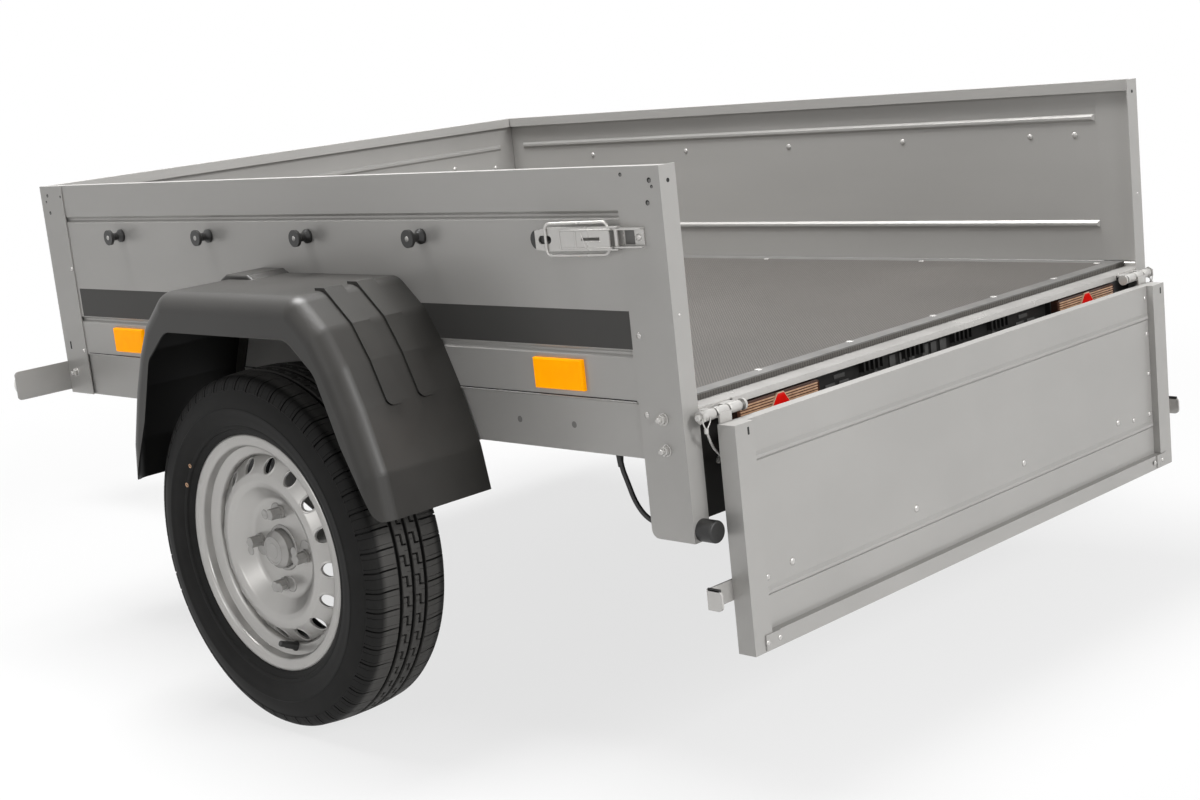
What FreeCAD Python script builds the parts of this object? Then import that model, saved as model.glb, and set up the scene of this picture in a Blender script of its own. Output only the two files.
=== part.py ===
import FreeCAD
import Part
import math
import os

# Single-axle box trailer with pressed sheet walls and a hanging tailgate.
# Frame: X forward to the coupling, Y left, Z up from the ground, millimetres.
# The wheel size gives the scale: a 13 inch rim with a 155/70 tyre.
# Heights that end in _H count up from the lower edge of the walls.

V = FreeCAD.Vector
OVERRUN = 5.0

# Road wheels
RIM_SEAT_R = 165.1
TYRE_WIDTH = 155.0
TYRE_ASPECT_SHARE = 0.7
TREAD_INSET = 20.0
SHOULDER_DROP = 18.0
WHEEL_SIDE_GAP = 31.5
RIM_FLANGE_H = 17.4
RIM_HALF_W = 62.0
RIM_T = 3.0
RIM_WELL_DEPTH = 16.0
RIM_WELL_Y = 16.0
RIM_WELL_HALF = 21.0
RIM_WELL_SLOPE = 6.0
DISC_T = 4.0
DISC_RING_INSET = 34.6
DISC_CROWN_HALF = 14.0
DISC_CROWN_Y = 51.0
DISC_FOOT_GAP = 10.0
DISC_HUB_Y = 26.0
DISC_EDGE_Y = 31.0
DISC_LAP = 12.0
VENT_COUNT = 16
VENT_PHASE = 16.5
VENT_R = 12.0
BOLT_COUNT = 4
BOLT_PHASE = -6.0
BOLT_CIRCLE_R = 57.0
BOLT_SHANK_R = 6.0
BOLT_HOLE_GAP = 0.5
BOLT_HEAD_R = 10.5
BOLT_HEAD_L = 22.0
BOLT_HEX_R = 9.0
BOLT_COLLAR_L = 5.0
HUB_CAP_R = 29.0
HUB_CAP_L = 20.0
HUB_CAP_ROUND = 7.0
HUB_FLANGE_R = 72.0
HUB_FLANGE_T = 12.0
HUB_BARREL_R = 36.0
HUB_BARREL_L = 52.0
SPINDLE_R = 16.0
SPINDLE_GAP = 0.4
SPINDLE_END_GAP = 5.0

# Box
BOX_L = 1540.0
BOX_W = 1160.0
SIDE_H = 380.0
PANEL_Z = 435.0
SHEET_T = 1.5
POST_T = 2.0
POST_SIDE_W = 75.0
POST_FLANGE_W = 30.0
POST_FRONT_W = 75.0
POST_DROP = 105.0
POST_CORNER_R = 12.0
BEAD_W = 11.0
BEAD_DEPTH = 4.0
BEAD_POST_GAP = 4.0
UPPER_BEAD_DROP = 61.0
LOWER_BEAD_H = 139.0
CREASE_H = 75.0
SKIRT_LEAN = 3.0
RIM_FOLD_W = 14.0
RIM_FOLD_H = 18.0
FOOT_FOLD_W = 16.0
CORNER_GAP = 0.5
FLOOR_TOP_H = 76.0
FLOOR_T = 9.0
FLOOR_SIDE_GAP = 0.5
FLOOR_REAR_GAP = 35.0
TRIM_W = 26.0
TRIM_T = 2.0
SILL_T = 2.0
SILL_LIP_H = 9.0
SILL_LIP_INSET = 96.0
SILL_REACH = 53.0

# Tailgate, drawn hanging open
KNUCKLE_R = 6.0
HINGE_LEAF_T = 3.0
GATE_POST_GAP = 5.5
GATE_DEPTH = 29.0
GATE_SIDE_GAP = 7.0
GATE_SILL_GAP = 5.0
GATE_TOP_GAP = 2.0
GATE_STILE_W = 36.0
GATE_STILE_T = 2.0
GATE_RECESS = 11.0
GATE_RAIL_H = 23.0
GATE_TAB_W = 30.0
GATE_TAB_T = 2.0
GATE_BEAD_TOP_DROP = 51.0
GATE_BEAD_FOOT_RISE = 74.0
PIN_R = 3.5
PIN_GAP = 0.3
HINGE_INSET = 18.0
KNUCKLE_L = 23.0
KNUCKLE_GAP = 2.0
HINGE_BOARD_GAP = 1.0
GATE_LEAF_H = 44.0
PIN_HEAD_T = 4.0
PIN_HEAD_R = 8.0
PIN_TAIL_L = 5.0
BUFFER_R = 15.0
BUFFER_INSET = 16.5
BUFFER_L = 26.0
BUFFER_ROUND = 3.0
HOOK_T = 3.0
HOOK_H = 28.0
HOOK_ROOT_W = 45.0
HOOK_POST_GAP = 6.5
HOOK_FOLD_L = 22.0
HOOK_CORNER_R = 8.0

# Chassis
MEMBER_W = 40.0
MEMBER_T = 2.0
MEMBER_WALL_GAP = 18.0
BEAM_AHEAD = 145.0
BEAM_W = 60.0
BEAM_T = 3.0
BEAM_INSET = 20.0
WHEEL_AHEAD = 723.0
NOSE_AHEAD = 900.0
DRAWBAR_W = 60.0
DRAWBAR_T = 4.0
DRAWBAR_REAR_GAP = 20.0
BRACKET_T = 6.0
BRACKET_W = 90.0
SWING_T = 22.0
SWING_R = 34.0

# Coupling
COUPLING_SIDE_T = 9.0
COUPLING_TOP_T = 5.0
COUPLING_L = 190.0
COUPLING_ROUND = 14.0
BALL_R = 25.2
BALL_BACK = 39.0
BALL_DEPTH = 22.0
HANDLE_W = 22.0
HANDLE_T = 7.0
HANDLE_L = 120.0
HANDLE_RISE = 34.0
HANDLE_FOOT_L = 24.0

# Jockey wheel
JACK_AHEAD = 470.0
JACK_R = 24.0
JACK_T = 3.0
JACK_INNER_R = 20.5
JACK_INNER_T = 3.0
JACK_CLAMP_GAP = 16.0
JACK_CLAMP_T = 6.0
JACK_CLAMP_H = 50.0
JACK_UP = 190.0
JACK_DOWN = 45.0
JACK_OVERLAP = 190.0
JACK_CAP_R = 27.0
JACK_CAP_T = 8.0
JACK_WHEEL_R = 100.0
JACK_WHEEL_HALF = 25.0
JACK_RIM_R = 72.0
JACK_DISH = 10.0
JACK_HUB_R = 20.0
JACK_BORE_R = 9.0
JACK_TRAIL = 42.0
FORK_T = 4.0
FORK_W = 36.0
FORK_GAP = 5.0
FORK_TOP_GAP = 12.0
FORK_CROWN_T = 8.0
SWIVEL_R = 10.0
SWIVEL_L = 30.0
SWIVEL_GAP = 0.5
CRANK_ROD_R = 6.0
CRANK_RISE = 26.0
CRANK_ARM_L = 90.0
CRANK_GRIP_L = 70.0
CRANK_GRIP_R = 11.0

# Lamps, lamp carrier and lamp cable
BOARD_T = 6.0
BOARD_SIDE_GAP = 1.0
BOARD_BOTTOM_DROP = 85.0
BOARD_BACK = 22.0
LAMP_INSET = 190.0
LAMP_W = 178.0
LAMP_H = 98.0
LAMP_BODY_T = 9.0
LAMP_ROUND = 6.0
LENS_T = 12.0
LENS_INSET = 3.0
TRIANGLE_W = 72.0
TRIANGLE_H = 50.0
TRIANGLE_T = 2.0
TRIANGLE_FOOT = 4.0
PLATE_LAMP_GAP = 41.0
PLATE_H = 110.0
PLATE_T = 2.0
RIB_W = 4.0
RIB_L = 9.0
RIB_H = 26.0
RIB_SPACING = 11.0
RIB_COUNT = 5
RIB_GROUP_SHARES = (-0.62, -0.24, 0.24, 0.62)
CABLE_R = 3.5

# Knobs, latches, reflectors and front lamp brackets
KNOB_REAR_GAP = 205.6
KNOB_FRONT_GAP = 254.4
KNOB_COUNT = 5
KNOB_RISE_SHARE = 0.36
KNOB_L = 27.0
KNOB_DISC_R = 13.0
KNOB_DISC_T = 5.0
KNOB_NECK_R = 6.5
KNOB_FOOT_R = 11.0
KNOB_FOOT_T = 4.0
FRONT_KNOB_INSET = 179.0
GATE_KNOB_INSET = 101.2
GATE_KNOB_FAR_INSET = 147.8
GATE_KNOB_RISE = 13.5
GATE_KNOB_COUNT = 4
LATCH_FOOT_L = 41.0
LATCH_FOOT_LAP = 9.0
LATCH_T = 2.0
LATCH_W = 30.0
LATCH_H = 7.0
LATCH_SIDE_GAP = 0.5
LATCH_AXIS_H = 8.0
LATCH_AXIS_LAP = 2.0
LATCH_PIN_R = 3.0
LATCH_LAP = 6.0
LATCH_LEVER_L = 110.0
LATCH_TAIL_L = 20.0
LATCH_TAIL_W = 25.0
LATCH_WINDOW_R = 5.5
LATCH_WINDOW_L = 11.0
LATCH_SLOT_X = 22.0
LATCH_SLOT_L = 30.0
LATCH_SLOT_W = 4.0
LATCH_REST_GAP = 0.3
LATCH_WIRE_R = 2.0
LATCH_WIRE_GAP = 6.0
LATCH_WIRE_SINK = 0.4
LATCH_LOOP_X = 13.0
LATCH_LOOP_L = 98.0
LATCH_LOOP_BEND = 8.0
MARKER_W = 94.0
MARKER_H = 42.0
MARKER_T = 7.0
MARKER_BEVEL = 2.0
MARKER_RISE = 10.5
MARKER_REAR_GAP = 171.0
MARKER_FRONT_GAP = 187.0
WING_T = 3.0
WING_H = 52.0
WING_Z = 6.0
WING_OUT = 107.0
WING_FOLD = 30.0
WING_ROUND = 7.0
WING_LAMP_R = 24.0
WING_LAMP_T = 14.0
WING_LAMP_ROUND = 4.0

# Mudguards
GUARD_MID_BACK = 13.0
GUARD_FOOT_GAP = 47.4
GUARD_TYRE_GAP = 121.8
GUARD_FOOT_DROP = 71.0
GUARD_REACH = 198.0
GUARD_T = 3.0
GUARD_EDGE_R = 30.0
GUARD_BEND_R = 36.0
GUARD_OUTLINE_SHARES = (
    (1.0, 0.0),
    (0.966, 0.21),
    (0.872, 0.495),
    (0.791, 0.685),
    (0.695, 0.849),
    (0.53, 1.0),
)
GUARD_ARCH_SHARES = ((0.948, 0.0), (0.779, 0.334), (0.657, 0.659), (0.483, 0.807))
GUARD_BACK_LIP = 24.0
GUARD_RIB_W = 31.0
GUARD_RIB_ROUND = 11.0
GUARD_RIB_RUN = 20.0
GUARD_RIB_H = 4.0
GUARD_RIB_REACH_SHARE = 0.48
GUARD_RIB_PLACES_SHARES = (0.3, 0.59)
GUARD_HUMP_AHEAD = 98.0
GUARD_HUMP_L = 84.0
GUARD_HUMP_W = 70.0
GUARD_HUMP_H = 7.0
GUARD_HUMP_SLOPE = 14.0
GUARD_HUMP_ROUND = 4.0

# Places that follow from the sizes above
TYRE_R = RIM_SEAT_R + TYRE_WIDTH * TYRE_ASPECT_SHARE
Y_SIDE = BOX_W / 2
Y_PANEL = Y_SIDE - POST_T
Y_IN = Y_PANEL - SHEET_T
HINGE_BACK = GATE_POST_GAP + KNUCKLE_R + HINGE_LEAF_T
GATE_OUT_BACK = HINGE_BACK + KNUCKLE_R + HINGE_LEAF_T
X_REAR = (GATE_OUT_BACK + GATE_DEPTH + GATE_TAB_T - BOX_L - NOSE_AHEAD) / 2
X_FRONT = X_REAR + BOX_L
X_NOSE = X_FRONT + NOSE_AHEAD
X_WHEEL = X_REAR + WHEEL_AHEAD
X_BEAM = X_WHEEL + BEAM_AHEAD
Z_AXLE = TYRE_R
Z_TOP = PANEL_Z + SIDE_H
WHEEL_CENTRE_Y = Y_SIDE + WHEEL_SIDE_GAP + TYRE_WIDTH / 2
SILL_TOP_H = FLOOR_TOP_H - FLOOR_T
Z_SILL = PANEL_Z + SILL_TOP_H
X_HINGE = X_REAR - HINGE_BACK
Z_HINGE = Z_SILL - SILL_T - KNUCKLE_R
GATE_X1 = X_REAR - GATE_OUT_BACK
GATE_X0 = GATE_X1 - GATE_DEPTH
GATE_Z1 = 2 * Z_HINGE - Z_SILL - GATE_SILL_GAP
GATE_Z0 = 2 * Z_HINGE - Z_TOP + GATE_TOP_GAP
GATE_Y = Y_SIDE - POST_FLANGE_W - GATE_SIDE_GAP
GUARD_CREST = 2 * TYRE_R + GUARD_TYRE_GAP + GUARD_HUMP_H
Z_KNOB = GUARD_CREST + KNOB_RISE_SHARE * (Z_TOP - GUARD_CREST)
Z_HOOK = 2 * Z_HINGE - Z_KNOB
Z_GATE_KNOB = Z_HOOK + GATE_KNOB_RISE
MEMBER_H = SILL_TOP_H
MEMBER_MID_Z = PANEL_Z + MEMBER_H / 2
MEMBER_Y = Y_IN - MEMBER_WALL_GAP - MEMBER_W / 2
MEMBER_X0 = X_REAR + SILL_REACH + SILL_T
MEMBER_X1 = X_FRONT - POST_T - FOOT_FOLD_W
DRAWBAR_TOP = PANEL_Z
DRAWBAR_BOTTOM = DRAWBAR_TOP - DRAWBAR_W
DRAWBAR_MID_Z = DRAWBAR_TOP - DRAWBAR_W / 2
BEAM_MID_Z = DRAWBAR_BOTTOM - BEAM_W / 2
SWING_Y = Y_SIDE - BEAM_INSET
HUB_FACE_Y = WHEEL_CENTRE_Y + DISC_HUB_Y - DISC_T
RING_R = RIM_SEAT_R - DISC_RING_INSET
X_BALL = X_NOSE - BALL_BACK
X_DRAWBAR_END = X_BALL - BALL_BACK
X_JACK = X_FRONT + JACK_AHEAD
Y_JACK = -DRAWBAR_W / 2 - JACK_CLAMP_GAP - JACK_R
JACK_TOP = DRAWBAR_TOP + JACK_UP
JACK_BOTTOM = DRAWBAR_BOTTOM - JACK_DOWN
FORK_TOP = 2 * JACK_WHEEL_R + FORK_TOP_GAP + FORK_CROWN_T
X_JACK_WHEEL = X_JACK - JACK_TRAIL
X_BOARD = X_REAR + BOARD_BACK
BOARD_TOP = Z_SILL - SILL_T
BOARD_Y = Y_PANEL - FOOT_FOLD_W - BOARD_SIDE_GAP
LAMP_Y0 = Y_SIDE - LAMP_INSET - LAMP_W / 2
LAMP_Y1 = LAMP_Y0 + LAMP_W
LAMP_TOP = Z_SILL - SILL_LIP_H
PLATE_HALF_W = LAMP_Y0 - PLATE_LAMP_GAP
GUARD_HALF_L = TYRE_R + GUARD_FOOT_GAP
GUARD_FOOT_Z = PANEL_Z - GUARD_FOOT_DROP
GUARD_H = 2 * TYRE_R + GUARD_TYRE_GAP - GUARD_FOOT_Z
GUARD_OUT_Y = Y_SIDE + GUARD_REACH

# Route of the near lamp cable, from the long member down and back to the lamp
# carrier, counted from the rear face, the middle and the walls' lower edge.
CABLE_POINTS = (
    (156.0, 545.0, 0.0),
    (156.0, 545.0, -22.0),
    (146.0, 545.0, -46.0),
    (137.0, 544.0, -72.0),
    (121.0, 542.5, -92.0),
    (99.0, 540.0, -101.0),
    (75.0, 535.5, -96.0),
    (52.0, 531.0, -80.0),
    (28.0, 531.0, -80.0),
)
CABLE_ARC_SHARE = 0.45


def box(x0, x1, y0, y1, z0, z1):
    return Part.makeBox(x1 - x0, y1 - y0, z1 - z0, V(x0, y0, z0))


def rod_x(x0, x1, y, z, r):
    return Part.makeCylinder(r, x1 - x0, V(x0, y, z), V(1, 0, 0))


def rod_y(x, y0, y1, z, r):
    return Part.makeCylinder(r, y1 - y0, V(x, y0, z), V(0, 1, 0))


def rod_z(x, y, z0, z1, r):
    return Part.makeCylinder(r, z1 - z0, V(x, y, z0), V(0, 0, 1))


def prism(points, way):
    face = Part.Face(Part.makePolygon(points + [points[0]]))
    return face.extrude(way)


def prism_x(points, x0, x1):
    return prism([V(x0, y, z) for y, z in points], V(x1 - x0, 0, 0))


def prism_y(points, y0, y1):
    return prism([V(x, y0, z) for x, z in points], V(0, y1 - y0, 0))


def lathe_y(points, x, y, z):
    # Points are (radius, distance along Y) pairs.
    ring = [V(x + r, y + d, z) for r, d in points]
    face = Part.Face(Part.makePolygon(ring + [ring[0]]))
    return face.revolve(V(x, y, z), V(0, 1, 0), 360)


def unit(a, b):
    dx = b[0] - a[0]
    dy = b[1] - a[1]
    size = math.hypot(dx, dy)
    return dx / size, dy / size


def offset(points, t):
    # The polyline moved by t to its own left, corner to corner.
    line = []
    for i, (x, y) in enumerate(points):
        normals = []
        if i > 0:
            ux, uy = unit(points[i - 1], points[i])
            normals.append((-uy, ux))
        if i < len(points) - 1:
            ux, uy = unit(points[i], points[i + 1])
            normals.append((-uy, ux))
        nx = sum(n[0] for n in normals)
        ny = sum(n[1] for n in normals)
        grow = len(normals) / (nx * nx + ny * ny)
        line.append((x + nx * grow * t, y + ny * grow * t))
    return line


def strip(points, t):
    # Outline of a sheet of thickness t on the left of a polyline.
    return points + offset(points, t)[::-1]


def rounded_edges(points, r, y):
    # Straight runs and arcs through the corners of an open polyline in the XZ plane.
    edges = []
    start = V(points[0][0], y, points[0][1])
    for before, corner, after in zip(points, points[1:], points[2:]):
        ax, az = unit(corner, before)
        bx, bz = unit(corner, after)
        half = math.acos(max(-1.0, min(1.0, ax * bx + az * bz))) / 2
        reach = r / math.tan(half)
        mx, mz = ax + bx, az + bz
        size = math.hypot(mx, mz)
        back = r / math.sin(half) - r
        tip = V(corner[0] + mx / size * back, y, corner[1] + mz / size * back)
        first = V(corner[0] + ax * reach, y, corner[1] + az * reach)
        last = V(corner[0] + bx * reach, y, corner[1] + bz * reach)
        edges.append(Part.LineSegment(start, first).toShape())
        edges.append(Part.Arc(first, tip, last).toShape())
        start = last
    edges.append(Part.LineSegment(start, V(points[-1][0], y, points[-1][1])).toShape())
    return edges


def frustum(x0, x1, z0, z1, y0, y1, inset):
    # A block whose section shrinks by inset on all four sides from y0 to y1.
    def ring(d, y):
        corners = [V(x0 + d, y, z0 + d), V(x1 - d, y, z0 + d), V(x1 - d, y, z1 - d), V(x0 + d, y, z1 - d)]
        return Part.makePolygon(corners + [corners[0]])

    return Part.makeLoft([ring(0, y0), ring(inset, y1)], True, True)


def fuse(shapes):
    body = shapes[0]
    if len(shapes) > 1:
        body = shapes[0].fuse(shapes[1:])
    return body.removeSplitter()


def other_side(shape):
    return shape.mirror(V(0, 0, 0), V(0, 1, 0))


def turned_z(shape, degrees):
    copy = shape.copy()
    copy.rotate(V(0, 0, 0), V(0, 0, 1), degrees)
    return copy


def moved(shape, x, y, z):
    copy = shape.copy()
    copy.translate(V(x, y, z))
    return copy


def tube_x(x0, x1, y, z, w, h, t):
    outer = box(x0, x1, y - w / 2, y + w / 2, z - h / 2, z + h / 2)
    return outer.cut(box(x0, x1, y - w / 2 + t, y + w / 2 - t, z - h / 2 + t, z + h / 2 - t))


def tube_y(y0, y1, x, z, w, h, t):
    outer = box(x - w / 2, x + w / 2, y0, y1, z - h / 2, z + h / 2)
    return outer.cut(box(x - w / 2 + t, x + w / 2 - t, y0, y1, z - h / 2 + t, z + h / 2 - t))


def pressed(sheet, x0, x1, middles):
    # Presses closed beads into a sheet whose outer face is at y = 0.
    # The sheet lies on the side of smaller y, and the slopes are at 45 degrees.
    lap = SHEET_T * math.tan(math.pi / 8)
    backs = []
    grooves = []
    for z in middles:
        z0 = z - BEAD_W / 2
        z1 = z + BEAD_W / 2
        deep = BEAD_DEPTH
        back = frustum(x0 - lap, x1 + lap, z0 - lap, z1 + lap, -SHEET_T, -deep - SHEET_T, deep)
        backs.append(back)
        grow = OVERRUN
        grooves.append(frustum(x0 - grow, x1 + grow, z0 - grow, z1 + grow, grow, -deep, grow + deep))
    body = sheet.fuse(backs)
    for groove in grooves:
        body = body.cut(groove)
    return body.removeSplitter()


def wall_sheet(length, lean):
    # The walls' folded sheet along X from 0, outer face at y = 0, lower edge at z = 0.
    # A lean above zero sets the skirt below the crease back by that much.
    skirt = [(0, 0)]
    if lean > 0:
        skirt = [(-lean, 0), (-lean, CREASE_H - lean), (0, CREASE_H)]
    line = [(-FOOT_FOLD_W, 0)] + skirt + [
        (0, SIDE_H),
        (-RIM_FOLD_W, SIDE_H),
        (-RIM_FOLD_W, SIDE_H - RIM_FOLD_H),
    ]
    return prism_x(strip(line, SHEET_T), 0, length)


def make_walls():
    middles = (LOWER_BEAD_H, SIDE_H - UPPER_BEAD_DROP)
    length = BOX_L - 2 * POST_T
    bead_rear = POST_SIDE_W + BEAD_POST_GAP - POST_T
    bead_front = length - POST_FRONT_W / 2
    side = pressed(wall_sheet(length, SKIRT_LEAN), bead_rear, bead_front, middles)
    side = moved(side, X_REAR + POST_T, Y_PANEL, PANEL_Z)

    half = Y_IN - CORNER_GAP
    width = 2 * half
    margin = POST_FRONT_W / 2
    front = pressed(wall_sheet(width, 0), margin, width - margin, middles)
    fold = RIM_FOLD_W + CORNER_GAP
    rim = box(0, fold, -RIM_FOLD_W, 0, SIDE_H - RIM_FOLD_H, SIDE_H)
    foot = box(0, FOOT_FOLD_W, -FOOT_FOLD_W, SHEET_T, 0, SHEET_T + CORNER_GAP)
    skirt = box(0, SKIRT_LEAN + CORNER_GAP, -FOOT_FOLD_W, SHEET_T, 0, CREASE_H + CORNER_GAP)
    for corner in (rim, foot, skirt):
        front = front.cut(corner)
        front = front.cut(moved(corner, width - corner.BoundBox.XLength, 0, 0))
    front = moved(turned_z(front, -90), X_FRONT - POST_T, half, PANEL_Z)
    return side, front


def make_posts():
    z0 = PANEL_Z - POST_DROP
    side = box(X_REAR, X_REAR + POST_SIDE_W, Y_PANEL, Y_SIDE, z0, Z_TOP)
    corner = [e for e in side.Edges if is_at(e, X_REAR + POST_SIDE_W, z0)]
    side = side.makeFillet(POST_CORNER_R, corner)
    rear = box(X_REAR, X_REAR + POST_T, Y_SIDE - POST_FLANGE_W, Y_SIDE, z0, Z_TOP)
    z1 = PANEL_Z + CREASE_H + SHEET_T
    inner = box(X_REAR, X_REAR + POST_SIDE_W, Y_IN - POST_T, Y_IN, z1, Z_TOP - RIM_FOLD_H - CORNER_GAP)
    rear_post = fuse([side, rear, inner])
    side = box(X_FRONT - POST_FRONT_W, X_FRONT, Y_PANEL, Y_SIDE, PANEL_Z, Z_TOP)
    front = box(X_FRONT - POST_T, X_FRONT, Y_SIDE - POST_FRONT_W, Y_SIDE, PANEL_Z, Z_TOP)
    return rear_post, fuse([side, front])


def is_at(edge, x, z):
    # True for an edge along Y through x and z.
    ends = [v.Point for v in edge.Vertexes]
    return all(abs(p.x - x) < CORNER_GAP and abs(p.z - z) < CORNER_GAP for p in ends)


def make_floor():
    # The boards' top is let down by the trims' thickness, so the trims lie flush.
    z1 = PANEL_Z + FLOOR_TOP_H
    x0 = X_REAR + FLOOR_REAR_GAP
    x1 = X_FRONT - POST_T - SHEET_T
    y = Y_IN - SKIRT_LEAN - FLOOR_SIDE_GAP
    floor = box(x0, x1, -y, y, z1 - FLOOR_T, z1)
    side = box(x0, x1, y - TRIM_W, y, z1 - TRIM_T, z1)
    rear = box(x0, x0 + TRIM_W, -y + TRIM_W, y - TRIM_W, z1 - TRIM_T, z1)
    trim = fuse([side, other_side(side), rear])
    return floor.cut(trim), trim


def make_sill():
    # Pressed rear sill: a flat top under the floor, a foot flange in front of the
    # members and a short lip behind, cut away at the hinges.
    x0 = X_REAR + POST_T
    x1 = X_REAR + SILL_REACH
    line = [(x1, PANEL_Z), (x1, Z_SILL - SILL_T), (x0, Z_SILL - SILL_T)]
    half = Y_IN - SKIRT_LEAN
    body = prism_y(strip(line, -SILL_T), -half, half)
    fold = Y_PANEL - FOOT_FOLD_W - CORNER_GAP
    for y0, y1 in ((-half, -fold), (fold, half)):
        body = body.cut(box(x0, x1 + SILL_T, y0, y1, PANEL_Z, Z_SILL - SILL_T))
    half = Y_SIDE - SILL_LIP_INSET
    lip = box(x0 - SILL_T, x0, -half, half, Z_SILL - SILL_LIP_H, Z_SILL)
    return fuse([body, lip])


def make_chassis():
    member = tube_x(MEMBER_X0, MEMBER_X1, MEMBER_Y, MEMBER_MID_Z, MEMBER_W, MEMBER_H, MEMBER_T)
    y = MEMBER_Y - MEMBER_W / 2
    middles = (MEMBER_X0 + MEMBER_W / 2, X_BEAM, MEMBER_X1 - MEMBER_W / 2)
    crosses = [tube_y(-y, y, x, MEMBER_MID_Z, MEMBER_W, MEMBER_H, MEMBER_T) for x in middles]
    x0 = X_BEAM - DRAWBAR_W - DRAWBAR_REAR_GAP
    drawbar = tube_x(x0, X_DRAWBAR_END, 0, DRAWBAR_MID_Z, DRAWBAR_W, DRAWBAR_W, DRAWBAR_T)
    return member, crosses, drawbar


def make_axle():
    beam = tube_y(-SWING_Y, SWING_Y, X_BEAM, BEAM_MID_Z, BEAM_W, BEAM_W, BEAM_T)
    x0 = X_BEAM - BRACKET_W / 2
    x1 = X_BEAM + BRACKET_W / 2
    z0 = DRAWBAR_BOTTOM
    foot = box(x0, x1, MEMBER_Y - MEMBER_W / 2, MEMBER_Y + MEMBER_W / 2, z0, z0 + BRACKET_T)
    head = moved(foot, 0, 0, DRAWBAR_W - BRACKET_T)
    web = box(x0, x1, MEMBER_Y - BRACKET_T / 2, MEMBER_Y + BRACKET_T / 2, z0, DRAWBAR_TOP)
    bracket = fuse([foot, head, web])
    return fuse([beam, bracket, other_side(bracket)])


def make_swing_arm():
    y0 = SWING_Y
    y1 = y0 + SWING_T
    ux, uz = unit((X_BEAM, BEAM_MID_Z), (X_WHEEL, Z_AXLE))
    dx, dz = -uz * SWING_R, ux * SWING_R
    corners = [
        (X_BEAM + dx, BEAM_MID_Z + dz),
        (X_BEAM - dx, BEAM_MID_Z - dz),
        (X_WHEEL - dx, Z_AXLE - dz),
        (X_WHEEL + dx, Z_AXLE + dz),
    ]
    web = prism_y(corners, y0, y1)
    ends = [rod_y(X_BEAM, y0, y1, BEAM_MID_Z, SWING_R), rod_y(X_WHEEL, y0, y1, Z_AXLE, SWING_R)]
    spindle = rod_y(X_WHEEL, y1, HUB_FACE_Y - SPINDLE_END_GAP, Z_AXLE, SPINDLE_R)
    return fuse([web] + ends + [spindle])


def wheel_ring(count, phase, r):
    # Places on a circle about the wheel's axis, degrees from the top towards the front.
    places = []
    for i in range(count):
        turn = math.radians(phase + 360 * i / count)
        places.append((X_WHEEL + r * math.sin(turn), Z_AXLE + r * math.cos(turn)))
    return places


def make_hub():
    face = HUB_FACE_Y
    seat = face + DISC_T
    back = face - HUB_FLANGE_T - HUB_BARREL_L
    bore_r = SPINDLE_R + SPINDLE_GAP
    cap_end = seat + HUB_CAP_L
    profile = [
        (0, face - SPINDLE_END_GAP / 2),
        (bore_r, face - SPINDLE_END_GAP / 2),
        (bore_r, back),
        (HUB_BARREL_R, back),
        (HUB_BARREL_R, face - HUB_FLANGE_T),
        (HUB_FLANGE_R, face - HUB_FLANGE_T),
        (HUB_FLANGE_R, face),
        (HUB_CAP_R, face),
        (HUB_CAP_R, cap_end - HUB_CAP_ROUND),
        (HUB_CAP_R - HUB_CAP_ROUND, cap_end),
        (0, cap_end),
    ]
    solids = [lathe_y(profile, X_WHEEL, 0, Z_AXLE)]
    for x, z in wheel_ring(BOLT_COUNT, BOLT_PHASE, BOLT_CIRCLE_R):
        solids.append(rod_y(x, face, seat, z, BOLT_SHANK_R))
        solids.append(rod_y(x, seat, seat + BOLT_COLLAR_L, z, BOLT_HEAD_R))
        solids.append(hexagon_y(x, z, seat + BOLT_COLLAR_L, seat + BOLT_HEAD_L, BOLT_HEX_R))
    return fuse(solids)


def hexagon_y(x, z, y0, y1, r):
    turns = [math.pi * i / 3 for i in range(6)]
    return prism_y([(x + r * math.cos(a), z + r * math.sin(a)) for a in turns], y0, y1)


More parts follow.
